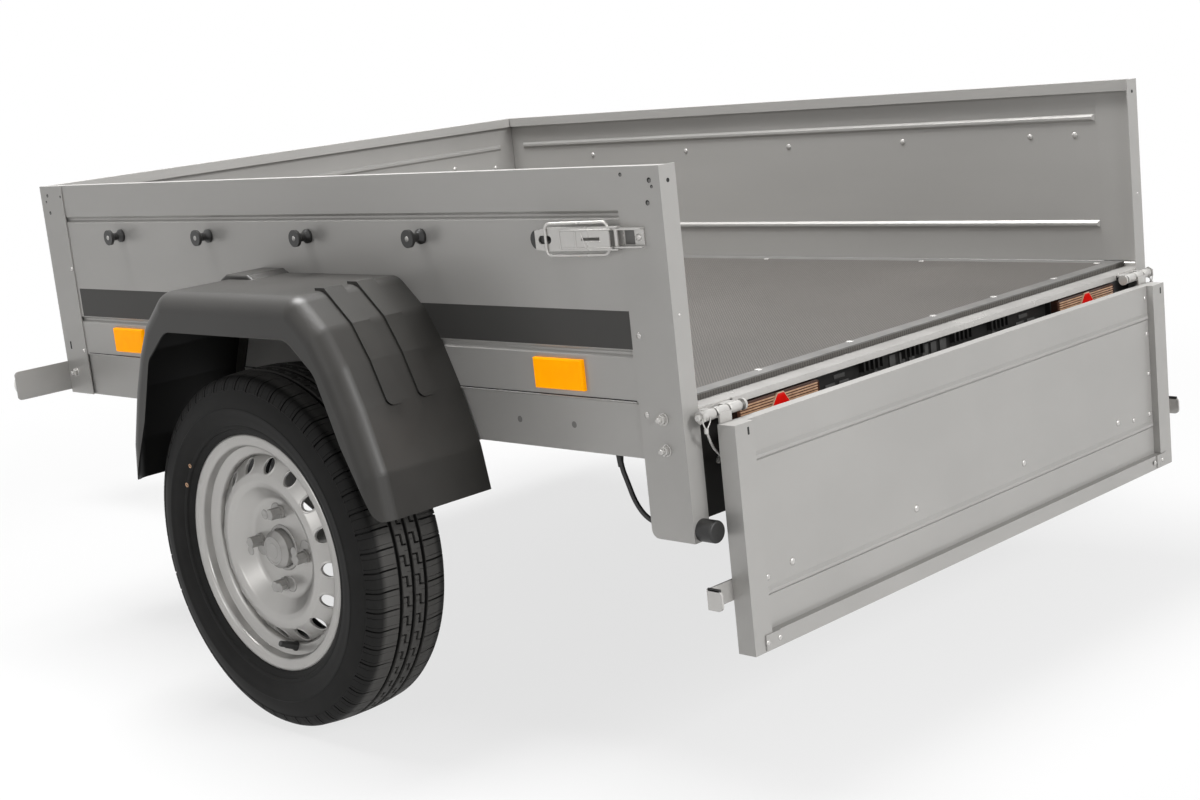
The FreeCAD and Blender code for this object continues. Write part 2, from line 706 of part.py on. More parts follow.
def make_rim():
    flange = RIM_SEAT_R + RIM_FLANGE_H
    well = RIM_SEAT_R - RIM_WELL_DEPTH
    well_in = RIM_WELL_Y - RIM_WELL_HALF
    well_out = RIM_WELL_Y + RIM_WELL_HALF
    line = [
        (flange, -RIM_HALF_W),
        (RIM_SEAT_R, -RIM_HALF_W),
        (RIM_SEAT_R, well_in - RIM_WELL_SLOPE),
        (well, well_in),
        (well, well_out),
        (RIM_SEAT_R, well_out + RIM_WELL_SLOPE),
        (RIM_SEAT_R, RIM_HALF_W),
        (flange, RIM_HALF_W),
    ]
    barrel = lathe_y(strip(line, RIM_T), X_WHEEL, WHEEL_CENTRE_Y, Z_AXLE)
    face = [
        (HUB_CAP_R + BOLT_HOLE_GAP, DISC_HUB_Y),
        (HUB_FLANGE_R + DISC_FOOT_GAP, DISC_HUB_Y),
        (RING_R - 2 * DISC_CROWN_HALF, DISC_CROWN_Y - DISC_T),
        (RING_R - DISC_CROWN_HALF, DISC_CROWN_Y),
        (RING_R, DISC_CROWN_Y - DISC_T / 2),
        (well - RIM_T, DISC_EDGE_Y),
        (well - RIM_T, DISC_EDGE_Y - DISC_LAP),
    ]
    disc = lathe_y(strip(face, -DISC_T), X_WHEEL, WHEEL_CENTRE_Y, Z_AXLE)
    y0 = WHEEL_CENTRE_Y
    y1 = WHEEL_CENTRE_Y + RIM_HALF_W
    holes = [rod_y(x, y0, y1, z, VENT_R) for x, z in wheel_ring(VENT_COUNT, VENT_PHASE, RING_R)]
    hole_r = BOLT_SHANK_R + BOLT_HOLE_GAP
    holes += [rod_y(x, y0, y1, z, hole_r) for x, z in wheel_ring(BOLT_COUNT, BOLT_PHASE, BOLT_CIRCLE_R)]
    return fuse([barrel, disc.cut(Part.makeCompound(holes))])


def make_tyre():
    # Solid in section; its beads end on the rim's flanges.
    bore = RIM_SEAT_R + RIM_FLANGE_H
    half = TYRE_WIDTH / 2
    outer = [
        (bore, half),
        (TYRE_R - SHOULDER_DROP, half),
        (TYRE_R, half - TREAD_INSET),
    ]
    return lathe_y(outer + [(r, -d) for r, d in outer[::-1]], X_WHEEL, WHEEL_CENTRE_Y, Z_AXLE)


def guard_line(shares):
    # Both slopes of a mudguard outline from the front foot over the top.
    xm = X_WHEEL - GUARD_MID_BACK
    front = [(xm + a * GUARD_HALF_L, GUARD_FOOT_Z + b * GUARD_H) for a, b in shares]
    return front + [(2 * xm - x, z) for x, z in front[::-1]]


def guard_block(line, r, y0, y1):
    edges = rounded_edges(line, r, y0)
    edges.append(Part.LineSegment(V(line[-1][0], y0, line[-1][1]), V(line[0][0], y0, line[0][1])).toShape())
    return Part.Face(Part.Wire(edges)).extrude(V(0, y1 - y0, 0))


def rounded_rim(block, r, y):
    # Rounds the edge of a block along its end face at y, apart from its foot.
    foot = block.BoundBox.ZMin
    rim = []
    for e in block.Edges:
        on_end = all(abs(v.Y - y) < CORNER_GAP for v in e.Vertexes)
        on_foot = all(abs(v.Z - foot) < CORNER_GAP for v in e.Vertexes)
        if on_end and not on_foot:
            rim.append(e)
    return block.makeFillet(r, rim)


def make_guard():
    line = guard_line(GUARD_OUTLINE_SHARES)
    skin = guard_block(line, GUARD_BEND_R, Y_PANEL, GUARD_OUT_Y)
    skin = rounded_rim(skin, GUARD_EDGE_R, GUARD_OUT_Y)
    ribs = []
    for share in GUARD_RIB_PLACES_SHARES:
        ribs.append(make_guard_rib(line, Y_SIDE + share * GUARD_REACH))
    xm = X_WHEEL - GUARD_MID_BACK
    skin = fuse([skin] + ribs + [make_guard_hump(xm + GUARD_HUMP_AHEAD)])
    inner_line = offset(line, GUARD_T)
    drop = OVERRUN
    inner_line = [(inner_line[0][0], inner_line[0][1] - drop)] + inner_line[1:-1]
    inner_line.append((2 * xm - inner_line[0][0], inner_line[0][1]))
    room = guard_block(inner_line, GUARD_BEND_R - GUARD_T, Y_PANEL - drop, GUARD_OUT_Y - GUARD_T)
    room = rounded_rim(room, GUARD_EDGE_R - GUARD_T, GUARD_OUT_Y - GUARD_T)
    arch_line = guard_line(GUARD_ARCH_SHARES)
    reach = GUARD_HALF_L + drop
    arch_line = [(xm + reach, GUARD_FOOT_Z - drop)] + arch_line + [(xm - reach, GUARD_FOOT_Z - drop)]
    arch = guard_block(arch_line, GUARD_BEND_R, GUARD_OUT_Y - GUARD_EDGE_R, GUARD_OUT_Y + drop)
    back = guard_block(line, GUARD_BEND_R, Y_PANEL, Y_PANEL + GUARD_T)
    back_line = offset(line, GUARD_BACK_LIP)
    back_line[0] = (back_line[0][0], back_line[0][1] - drop)
    back_line[-1] = (back_line[-1][0], back_line[-1][1] - drop)
    back_bend = GUARD_BEND_R - GUARD_BACK_LIP / 2
    back = back.cut(guard_block(back_line, back_bend, Y_PANEL - drop, Y_PANEL + drop))
    return fuse([skin.cut(room).cut(arch), back])


def make_guard_hump(x0):
    # A raised seat at the wall for the guard's fixing, sloped in front and behind.
    x1 = x0 + GUARD_HUMP_L
    top = GUARD_FOOT_Z + GUARD_H
    crest = top + GUARD_HUMP_H
    low = top - GUARD_BEND_R / 2
    line = [
        (x0, low),
        (x0, top),
        (x0 + GUARD_HUMP_SLOPE, crest),
        (x1 - GUARD_HUMP_SLOPE, crest),
        (x1, top),
        (x1, low),
    ]
    hump = prism_y(line, Y_PANEL, Y_PANEL + GUARD_HUMP_W)
    high = [e for e in hump.Edges if e.BoundBox.ZMax > crest - GUARD_T]
    free = [e for e in high if e.BoundBox.YMax > Y_PANEL + GUARD_T]
    return hump.makeFillet(GUARD_HUMP_ROUND, free)


def make_guard_rib(line, y):
    # A raised strip from the rear edge of the top down the rear slope. Its path stops short
    # of the foot, so that the last run is long enough for the rounded end.
    over = line[len(line) // 2:-1]
    foot = GUARD_FOOT_Z + GUARD_RIB_REACH_SHARE * GUARD_H
    path = [(over[0][0] + GUARD_RIB_RUN, over[0][1])]
    path += [p for p in over if p[1] > foot + GUARD_RIB_H]
    last = over[len(path) - 1]
    share = (path[-1][1] - foot) / (path[-1][1] - last[1])
    path.append((path[-1][0] + (last[0] - path[-1][0]) * share, foot))
    sunk = offset(path, GUARD_T / 2)
    proud = offset(path, -GUARD_RIB_H)
    rib = prism_y(sunk + proud[::-1], y - GUARD_RIB_W / 2, y + GUARD_RIB_W / 2)
    low = [e for e in rib.Edges if e.BoundBox.ZMax < foot + GUARD_RIB_H and e.BoundBox.YLength < GUARD_T]
    return rib.makeFillet(GUARD_RIB_ROUND, low)


def make_gate():
    # Local sheet: outer face at y = 0, load side at smaller y, X across the gate.
    t = GATE_STILE_T
    half = GATE_Y - t
    face = GATE_X0 + GATE_RECESS
    depth = GATE_X1 - face - SHEET_T
    height = GATE_Z1 - GATE_Z0
    line = [
        (depth, SHEET_T),
        (-GATE_RECESS, SHEET_T),
        (-GATE_RECESS, GATE_RAIL_H - SHEET_T),
        (0, GATE_RAIL_H - SHEET_T),
        (0, height - SHEET_T),
        (depth, height - SHEET_T),
    ]
    sheet = prism_x(strip(line, SHEET_T), 0, 2 * half)
    margin = GATE_STILE_W - t + BEAD_POST_GAP
    middles = (GATE_BEAD_FOOT_RISE, height - GATE_BEAD_TOP_DROP)
    panel = pressed(sheet, margin, 2 * half - margin, middles)
    slot_side = GATE_STILE_W - t + CORNER_GAP
    for x in (0, 2 * half - slot_side):
        notch = box(x, x + slot_side, -GATE_RECESS - 2 * SHEET_T, -SHEET_T, -SHEET_T, GATE_RAIL_H + SHEET_T)
        panel = panel.cut(notch)
    panel = moved(turned_z(panel, -90), face + SHEET_T, half, GATE_Z0)

    y0 = GATE_Y - GATE_STILE_W
    top = GATE_Z1
    foot = GATE_Z0
    web = box(GATE_X0, GATE_X1, GATE_Y - t, GATE_Y, foot, top)
    flange = box(GATE_X0, GATE_X0 + t, y0, GATE_Y, foot, top)
    lid = box(GATE_X0, face, y0, GATE_Y, top - t, top)
    tab_y = y0 - GATE_TAB_W / 2
    tab = box(GATE_X0 - GATE_TAB_T, GATE_X0, tab_y, tab_y + GATE_TAB_W, foot + t, foot + GATE_RAIL_H)
    inner = box(GATE_X0 + t, face, y0, y0 + t, foot, top)
    stile = fuse([web, flange, inner, lid, tab])
    return panel, stile


def make_hinge():
    # Three knuckles on a pin: the outer two on the sill's leaf, the middle one on the gate's.
    y1 = Y_SIDE - HINGE_INSET
    steps = []
    for _ in range(3):
        steps.append((y1 - KNUCKLE_L, y1))
        y1 -= KNUCKLE_L + KNUCKLE_GAP
    outer, middle, inner = steps
    leaf_top = Z_SILL - SILL_T
    leaf_x1 = X_BOARD - HINGE_BOARD_GAP
    leaf_y1 = Y_SIDE - POST_FLANGE_W - CORNER_GAP
    leaf = box(X_HINGE, leaf_x1, inner[0], leaf_y1, leaf_top - HINGE_LEAF_T, leaf_top)
    clear = KNUCKLE_R + HINGE_LEAF_T + OVERRUN
    notch = box(
        X_HINGE - clear,
        X_HINGE + clear,
        middle[0] - KNUCKLE_GAP,
        middle[1] + KNUCKLE_GAP,
        Z_HINGE - clear,
        Z_HINGE + clear,
    )
    knuckles = [rod_y(X_HINGE, a, b, Z_HINGE, KNUCKLE_R) for a, b in (outer, inner)]
    pin = rod_y(X_HINGE, inner[0] - PIN_TAIL_L, outer[1] + PIN_HEAD_T, Z_HINGE, PIN_R)
    head = rod_y(X_HINGE, inner[0] - PIN_TAIL_L - PIN_HEAD_T, inner[0] - PIN_TAIL_L, Z_HINGE, PIN_HEAD_R)
    fixed = fuse([leaf.cut(notch)] + knuckles + [pin, head])
    a, b = middle
    barrel = rod_y(X_HINGE, a, b, Z_HINGE, KNUCKLE_R)
    plate = box(GATE_X1, GATE_X1 + HINGE_LEAF_T, a, b, GATE_Z1 - GATE_LEAF_H, Z_HINGE)
    wrap = box(GATE_X1, X_HINGE, a, b, Z_HINGE - HINGE_LEAF_T, Z_HINGE)
    wide = box(
        GATE_X1,
        GATE_X1 + HINGE_LEAF_T,
        inner[0],
        GATE_Y - HINGE_LEAF_T,
        GATE_Z1 - GATE_LEAF_H,
        GATE_Z1 - HINGE_LEAF_T,
    )
    moving = fuse([barrel, plate, wrap, wide])
    return fixed, moving.cut(rod_y(X_HINGE, a, b, Z_HINGE, PIN_R + PIN_GAP))


def make_buffer():
    z = PANEL_Z - POST_DROP + BUFFER_R
    y = Y_SIDE - BUFFER_INSET
    body = rod_x(X_REAR - BUFFER_L, X_REAR, y, z, BUFFER_R)
    return body.makeFillet(BUFFER_ROUND, [e for e in body.Edges if e.BoundBox.XMax < X_REAR - BUFFER_L / 2])


def make_hook():
    # A strap beyond the gate's edge with an end folded round the post's side.
    z0 = Z_HOOK - HOOK_H / 2
    z1 = Z_HOOK + HOOK_H / 2
    y1 = Y_SIDE + HOOK_POST_GAP + HOOK_T
    x0 = GATE_X1
    strap = box(x0, x0 + HOOK_T, GATE_Y - HOOK_ROOT_W, y1, z0, z1)
    fold = box(x0 - HOOK_FOLD_L, x0, y1 - HOOK_T, y1, z0, z1)
    ends = [e for e in fold.Edges if is_at(e, x0 - HOOK_FOLD_L, z0) or is_at(e, x0 - HOOK_FOLD_L, z1)]
    return fuse([strap, fold.makeFillet(HOOK_CORNER_R, ends)])


def make_coupling():
    z0 = DRAWBAR_BOTTOM
    top = DRAWBAR_TOP + COUPLING_TOP_T
    half = DRAWBAR_W / 2 + COUPLING_SIDE_T
    x0 = X_NOSE - COUPLING_L
    neck = box(x0, X_BALL, -half, half, z0, top)
    nose = rod_z(X_BALL, 0, z0, top, BALL_BACK)
    body = fuse([neck, nose])
    rim = [e for e in body.Edges if e.BoundBox.ZMin > top - CORNER_GAP and e.BoundBox.XMax > x0 + CORNER_GAP]
    body = body.makeFillet(COUPLING_ROUND / 2, rim)
    hole = box(x0, X_DRAWBAR_END, -DRAWBAR_W / 2, DRAWBAR_W / 2, z0, DRAWBAR_TOP)
    ball = Part.makeSphere(BALL_R, V(X_BALL, 0, z0 + BALL_DEPTH))
    bore = rod_z(X_BALL, 0, z0, z0 + BALL_DEPTH, BALL_R)
    x1 = X_BALL - BALL_BACK / 2
    line = [
        (x1, top - HANDLE_T),
        (x1, top + HANDLE_T),
        (x1 - HANDLE_FOOT_L, top + HANDLE_RISE),
        (x1 - HANDLE_L, top + HANDLE_RISE + HANDLE_T),
    ]
    handle = prism_y(strip(line, HANDLE_T), -HANDLE_W / 2, HANDLE_W / 2)
    return fuse([body.cut(hole), handle]).cut(ball.fuse(bore))


def make_jack():
    outer = rod_z(X_JACK, Y_JACK, JACK_BOTTOM, JACK_TOP, JACK_R)
    cap = rod_z(X_JACK, Y_JACK, JACK_TOP, JACK_TOP + JACK_CAP_T, JACK_CAP_R)
    bore = rod_z(X_JACK, Y_JACK, JACK_BOTTOM, JACK_TOP - JACK_T, JACK_R - JACK_T)
    z0 = DRAWBAR_MID_Z - JACK_CLAMP_H / 2
    z1 = DRAWBAR_MID_Z + JACK_CLAMP_H / 2
    ring = rod_z(X_JACK, Y_JACK, z0, z1, JACK_R + JACK_CLAMP_T)
    block = box(X_JACK - JACK_R, X_JACK + JACK_R, Y_JACK, -DRAWBAR_W / 2, z0, z1)
    tube = fuse([outer, cap, ring, block]).cut(bore)
    z2 = JACK_TOP + JACK_CAP_T + CRANK_RISE
    rod = rod_z(X_JACK, Y_JACK, JACK_TOP + JACK_CAP_T, z2, CRANK_ROD_R)
    arm = rod_x(X_JACK, X_JACK + CRANK_ARM_L, Y_JACK, z2 - CRANK_ROD_R, CRANK_ROD_R)
    grip = rod_z(X_JACK + CRANK_ARM_L, Y_JACK, z2 - CRANK_ROD_R, z2 + CRANK_GRIP_L, CRANK_GRIP_R)
    return tube, fuse([rod, arm, grip])


def make_jack_leg():
    z0 = FORK_TOP + SWIVEL_GAP
    z1 = JACK_BOTTOM + JACK_OVERLAP
    z2 = z0 + SWIVEL_L + SWIVEL_GAP
    leg = rod_z(X_JACK, Y_JACK, z0, z1, JACK_INNER_R)
    leg = leg.cut(rod_z(X_JACK, Y_JACK, z2, z1, JACK_INNER_R - JACK_INNER_T))
    return leg.cut(rod_z(X_JACK, Y_JACK, z0, z2, SWIVEL_R + SWIVEL_GAP))


def make_fork():
    y0 = Y_JACK - JACK_WHEEL_HALF - FORK_GAP
    y1 = Y_JACK + JACK_WHEEL_HALF + FORK_GAP
    x0 = X_JACK_WHEEL - FORK_W / 2
    x1 = X_JACK + FORK_W / 2
    foot = FORK_TOP - FORK_CROWN_T
    crown = box(x0, x1, y0 - FORK_T, y1 + FORK_T, foot, FORK_TOP)
    pin = rod_z(X_JACK, Y_JACK, FORK_TOP, FORK_TOP + SWIVEL_L, SWIVEL_R)
    solids = [crown, pin]
    for y in (y0 - FORK_T, y1):
        cheek = [(x0, foot), (x1, foot), (X_JACK_WHEEL + FORK_W / 2, JACK_WHEEL_R), (x0, JACK_WHEEL_R)]
        solids.append(prism_y(cheek, y, y + FORK_T))
        solids.append(rod_y(X_JACK_WHEEL, y, y + FORK_T, JACK_WHEEL_R, FORK_W / 2))
    solids.append(rod_y(X_JACK_WHEEL, y0 - FORK_T, y1 + FORK_T, JACK_WHEEL_R, JACK_BORE_R - SPINDLE_GAP))
    return fuse(solids)


def make_jack_wheel():
    half = JACK_WHEEL_HALF
    tyre = rod_y(X_JACK_WHEEL, Y_JACK - half, Y_JACK + half, JACK_WHEEL_R, JACK_WHEEL_R)
    seat = rod_y(X_JACK_WHEEL, Y_JACK - half, Y_JACK + half, JACK_WHEEL_R, JACK_RIM_R)
    web = half - JACK_DISH
    profile = [
        (JACK_BORE_R, half),
        (JACK_HUB_R, half),
        (JACK_HUB_R, web),
        (JACK_RIM_R - JACK_DISH, web),
        (JACK_RIM_R - JACK_DISH / 2, half),
        (JACK_RIM_R, half),
    ]
    profile += [(r, -d) for r, d in profile[::-1]]
    return tyre.cut(seat), lathe_y(profile, X_JACK_WHEEL, Y_JACK, JACK_WHEEL_R)


def make_lights():
    z0 = PANEL_Z - BOARD_BOTTOM_DROP
    board = box(X_BOARD, X_BOARD + BOARD_T, -BOARD_Y, BOARD_Y, z0, BOARD_TOP)
    plate = box(X_BOARD - PLATE_T, X_BOARD, -PLATE_HALF_W, PLATE_HALF_W, z0, z0 + PLATE_H)
    ribs = []
    for share in RIB_GROUP_SHARES:
        for i in range(RIB_COUNT):
            y = share * PLATE_HALF_W + (i - (RIB_COUNT - 1) / 2) * RIB_SPACING
            ribs.append(box(X_BOARD - RIB_L, X_BOARD, y, y + RIB_W, BOARD_TOP - RIB_H, BOARD_TOP))
    board = fuse([board, plate] + ribs)

    x1 = X_BOARD - LAMP_BODY_T
    body = box(x1, X_BOARD, LAMP_Y0, LAMP_Y1, LAMP_TOP - LAMP_H, LAMP_TOP)
    body = body.makeFillet(LAMP_ROUND, [e for e in body.Edges if e.BoundBox.XLength > LAMP_BODY_T / 2])
    inset = LENS_INSET
    y0, y1 = LAMP_Y0 + inset, LAMP_Y1 - inset
    lens = box(x1 - LENS_T, x1, y0, y1, LAMP_TOP - LAMP_H + inset, LAMP_TOP - inset)
    lens = lens.makeFillet(LAMP_ROUND, [e for e in lens.Edges if e.BoundBox.XLength > LENS_T / 2])
    ym = (y0 + y1) / 2
    zt = LAMP_TOP - TRIANGLE_FOOT
    mark = [(ym - TRIANGLE_W / 2, zt - TRIANGLE_H), (ym + TRIANGLE_W / 2, zt - TRIANGLE_H), (ym, zt)]
    triangle = prism_x(mark, x1 - LENS_T - TRIANGLE_T, x1 - LENS_T)
    return board, body, fuse([lens, triangle])


def make_cable():
    # A tube of straight runs and tangent arcs, each as large as its two runs allow.
    route = [V(X_REAR + x, y, PANEL_Z + z) for x, y, z in CABLE_POINTS]
    edges = []
    start = route[0]
    radii = []
    for before, corner, after in zip(route, route[1:], route[2:]):
        a = before - corner
        b = after - corner
        run = CABLE_ARC_SHARE * min(a.Length, b.Length)
        a.normalize()
        b.normalize()
        half = a.getAngle(b) / 2
        radii.append(run * math.tan(half))
        middle = a + b
        middle.normalize()
        tip = corner + middle * (run / math.cos(half) - radii[-1])
        first = corner + a * run
        last = corner + b * run
        edges.append(Part.LineSegment(start, first).toShape())
        edges.append(Part.Arc(first, tip, last).toShape())
        start = last
    edges.append(Part.LineSegment(start, route[-1]).toShape())
    path = Part.Wire(edges)
    ring = Part.Wire(Part.makeCircle(CABLE_R, route[0], route[1] - route[0]))
    tube = path.makePipeShell([ring], True, False)
    print("cable length", round(path.Length, 1), "smallest radius", round(min(radii), 1))
    print("cable volume", round(tube.Volume), "against", round(math.pi * CABLE_R**2 * path.Length))
    return tube


def make_knob():
    # Axis along Y from the sheet at y = 0, flared like a spool.
    y1 = KNOB_L - KNOB_DISC_T
    profile = [
        (0, 0),
        (KNOB_FOOT_R, 0),
        (KNOB_FOOT_R, KNOB_FOOT_T),
        (KNOB_NECK_R, KNOB_FOOT_T + KNOB_DISC_T),
        (KNOB_NECK_R, y1 - KNOB_DISC_T),
        (KNOB_DISC_R, y1),
        (KNOB_DISC_R, KNOB_L),
        (0, KNOB_L),
    ]
    return lathe_y(profile, 0, 0, 0)


def make_knobs():
    spool = make_knob()
    spacing = (BOX_L - KNOB_REAR_GAP - KNOB_FRONT_GAP) / (KNOB_COUNT - 1)
    x0 = X_REAR + KNOB_REAR_GAP
    side = [moved(spool, x0 + spacing * i, Y_PANEL, Z_KNOB) for i in range(KNOB_COUNT)]
    ahead = turned_z(spool, -90)
    y = Y_SIDE - FRONT_KNOB_INSET
    front = [moved(ahead, X_FRONT - POST_T, d, Z_KNOB) for d in (-y, 0, y)]
    y = GATE_Y - GATE_KNOB_INSET
    step = (y + GATE_Y - GATE_KNOB_FAR_INSET) / (GATE_KNOB_COUNT - 1)
    face = GATE_X0 + GATE_RECESS + SHEET_T
    gate = [moved(ahead, face, y - step * i, Z_GATE_KNOB) for i in range(GATE_KNOB_COUNT)]
    return side, front, gate


def wire_loop(points, r, bend, y):
    # A closed loop of round wire. The first point, on a straight run, is also the last.
    start = points[0]
    ring = Part.Wire(Part.makeCircle(r, V(start[0], y, start[1]), V(1, 0, 0)))
    return Part.Wire(rounded_edges(points, bend, y)).makePipeShell([ring], True, True)


def make_lever():
    # Drawn flat from its pivot at the origin, outer face towards larger y.
    t = LATCH_T
    half = LATCH_W / 2
    end = LATCH_LEVER_L + LATCH_TAIL_L
    tail = LATCH_TAIL_W / 2
    line = [
        (LATCH_LAP, -half),
        (LATCH_LEVER_L, -half),
        (end, -tail),
        (end, tail),
        (LATCH_LEVER_L, half),
        (LATCH_LAP, half),
    ]
    plate = prism_y(line, LATCH_H - t, LATCH_H)
    r = LATCH_WINDOW_R
    x1 = end - 2 * r
    x0 = x1 - LATCH_WINDOW_L
    ends = [rod_y(x, 0, LATCH_H, 0, r) for x in (x0, x1)]
    window = fuse(ends + [box(x0, x1, 0, LATCH_H, -r, r)])
    slot = box(LATCH_SLOT_X, LATCH_SLOT_X + LATCH_SLOT_L, 0, LATCH_H, -LATCH_SLOT_W / 2, LATCH_SLOT_W / 2)
    plate = plate.cut(window).cut(slot)
    sides = [box(-LATCH_LAP, LATCH_LEVER_L, -LATCH_LAP / 2, LATCH_H, d, d + t) for d in (-half, half - t)]
    pin = rod_z(0, 0, -half, half, LATCH_PIN_R)
    width = half + LATCH_WIRE_GAP
    middle = LATCH_LOOP_L / 2
    corners = [
        (middle, -width),
        (LATCH_LOOP_L, -width),
        (LATCH_LOOP_L, width),
        (0, width),
        (0, -width),
        (middle, -width),
    ]
    rise = LATCH_H + LATCH_WIRE_R - LATCH_WIRE_SINK
    loop = wire_loop(corners, LATCH_WIRE_R, LATCH_LOOP_BEND, 0)
    loop = moved(turned_z(loop, math.degrees(math.atan2(rise, LATCH_LOOP_L))), LATCH_LOOP_X, 0, 0)
    return fuse([plate, pin, loop] + sides)


def make_latch():
    # Toggle latch: a bracket on the post, a lever that rests on the rear knob, and its wire loop.
    z = Z_KNOB
    half = LATCH_W / 2 - LATCH_T - LATCH_SIDE_GAP
    x0 = X_REAR + POST_SIDE_W - LATCH_FOOT_L
    x1 = X_REAR + POST_SIDE_W + LATCH_FOOT_LAP
    axis_x = X_REAR + POST_SIDE_W + LATCH_AXIS_LAP
    axis_y = Y_SIDE + LATCH_AXIS_H
    plate = box(x0, x1, Y_SIDE, Y_SIDE + LATCH_T, z - half, z + half)
    top = axis_y + LATCH_PIN_R + LATCH_T
    side = [
        V(x0, Y_SIDE, z),
        V(x1, Y_SIDE, z),
        V(x1, axis_y, z),
        V(axis_x + LATCH_PIN_R, top, z),
        V(axis_x - LATCH_PIN_R, top, z),
        V(x0, axis_y, z),
    ]
    sides = [moved(prism(side, V(0, 0, LATCH_T)), 0, 0, d) for d in (-half, half - LATCH_T)]
    knob_x = X_REAR + KNOB_REAR_GAP - KNOB_DISC_R
    rest = Y_PANEL + KNOB_L + LATCH_REST_GAP - (LATCH_H - LATCH_T)
    tilt = math.degrees(math.atan2(rest - axis_y, knob_x - axis_x))
    lever = moved(turned_z(make_lever(), tilt), axis_x, axis_y, z)
    return fuse([plate, lever] + sides)


def make_marker(x):
    z = PANEL_Z + CREASE_H + MARKER_RISE
    plate = box(x, x + MARKER_W, Y_PANEL, Y_PANEL + MARKER_T, z, z + MARKER_H)
    front = [e for e in plate.Edges if e.BoundBox.YMin > Y_PANEL + MARKER_T / 2]
    return plate.makeChamfer(MARKER_BEVEL, front)


def make_wing():
    z0 = PANEL_Z + WING_Z
    z1 = z0 + WING_H
    y1 = Y_SIDE + WING_OUT
    plate = box(X_FRONT, X_FRONT + WING_T, Y_SIDE - WING_FOLD, y1, z0, z1)
    ends = [e for e in plate.Edges if e.BoundBox.YMin > Y_SIDE and e.BoundBox.XLength > WING_T / 2]
    plate = plate.makeFillet(WING_ROUND, ends)
    x0 = X_FRONT + WING_T
    lamp = rod_x(x0, x0 + WING_LAMP_T, y1 - WING_H / 2, (z0 + z1) / 2, WING_LAMP_R)
    rim = [e for e in lamp.Edges if e.BoundBox.XMin > x0 + WING_LAMP_T / 2]
    lamp = lamp.makeFillet(WING_LAMP_ROUND, rim)
    return plate, lamp


NODES = {}


def add(name, shape):
    NODES[name] = shape


def add_pair(name, shape):
    add(name + "_left", shape)
    add(name + "_right", other_side(shape))


def add_both(name, shapes):
    add(name, Part.makeCompound(shapes + [other_side(shape) for shape in shapes]))


def add_box():
    side, front = make_walls()
    add_pair("side_wall", side)
    add("front_wall", front)
    rear_post, front_post = make_posts()
    add_pair("rear_post", rear_post)
    add_pair("front_post", front_post)
    floor, trim = make_floor()
    add("floor", floor)
    add("floor_trims", trim)
    add("rear_sill", make_sill())
    panel, stile = make_gate()
    add("gate_panel", panel)
    add_pair("gate_stile", stile)
    add_both("gate_hooks", [make_hook()])
    fixed, moving = make_hinge()
    add_both("hinges_fixed", [fixed])
    add_both("hinges_gate", [moving])
    add_both("buffers", [make_buffer()])


def add_chassis():
    member, crosses, drawbar = make_chassis()
    add_both("long_members", [member])
    add("cross_members", Part.makeCompound(crosses))
    add("drawbar", drawbar)
    add("axle_beam", make_axle())
    add_pair("swing_arm", make_swing_arm())
    add_pair("hub", make_hub())
    add_pair("rim", make_rim())
    add_pair("tyre", make_tyre())
    add_pair("mudguard", make_guard())
    add("coupling", make_coupling())
    tube, crank = make_jack()
    add("jack_tube", tube)
    add("jack_crank", crank)
    add("jack_leg", make_jack_leg())
    add("jack_fork", make_fork())
    tyre, rim = make_jack_wheel()
    add("jack_tyre", tyre)
    add("jack_rim", rim)


def add_fittings():
    board, body, lens = make_lights()
    add("light_board", board)
    add_both("lamp_bodies", [body])
    add_both("lamp_lenses", [lens])
    add("lamp_cable", make_cable())
    side_knobs, front_knobs, gate_knobs = make_knobs()
    add_pair("knobs", Part.makeCompound(side_knobs))
    add("knobs_front", Part.makeCompound(front_knobs))
    add("knobs_gate", Part.makeCompound(gate_knobs))
    add_pair("latch", make_latch())
    markers = [make_marker(X_REAR + MARKER_REAR_GAP), make_marker(X_FRONT - MARKER_FRONT_GAP - MARKER_W)]
    add_both("side_reflectors", markers)
    wing, lamp = make_wing()
    add_both("front_brackets", [wing])
    add_both("front_lamps", [lamp])


def main():
    add_box()
    add_chassis()
    add_fittings()
    os.makedirs("parts", exist_ok=True)
    total = None
    for name, shape in NODES.items():
        shape.exportStep("parts/" + name + ".step")
        good = shape.isValid() and all(s.isClosed() for s in shape.Shells)
        print(name, good, len(shape.Solids), round(shape.Volume / 1000, 1))
        b = shape.BoundBox
        total = b if total is None else total.united(b)
    print(len(NODES), "nodes", total)


main()
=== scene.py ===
import math

import bmesh
import bpy
from mathutils import Matrix, Vector


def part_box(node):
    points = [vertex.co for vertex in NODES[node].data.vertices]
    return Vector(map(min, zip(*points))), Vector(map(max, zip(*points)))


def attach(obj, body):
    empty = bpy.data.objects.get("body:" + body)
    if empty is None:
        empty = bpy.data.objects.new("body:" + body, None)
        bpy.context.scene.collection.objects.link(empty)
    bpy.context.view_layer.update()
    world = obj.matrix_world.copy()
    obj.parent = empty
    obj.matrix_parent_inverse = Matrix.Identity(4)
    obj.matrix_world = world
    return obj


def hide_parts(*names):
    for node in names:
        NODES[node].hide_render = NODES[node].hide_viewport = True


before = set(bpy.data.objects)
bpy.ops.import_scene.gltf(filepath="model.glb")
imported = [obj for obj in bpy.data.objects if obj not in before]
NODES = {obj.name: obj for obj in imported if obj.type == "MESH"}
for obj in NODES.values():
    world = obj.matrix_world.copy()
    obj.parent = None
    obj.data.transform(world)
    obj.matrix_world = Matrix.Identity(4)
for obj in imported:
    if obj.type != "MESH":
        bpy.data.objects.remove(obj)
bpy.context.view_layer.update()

MM = 0.001
UP = Vector((0, 0, 1))
OUT_LEFT = Vector((0, 1, 0))
BACK = Vector((-1, 0, 0))

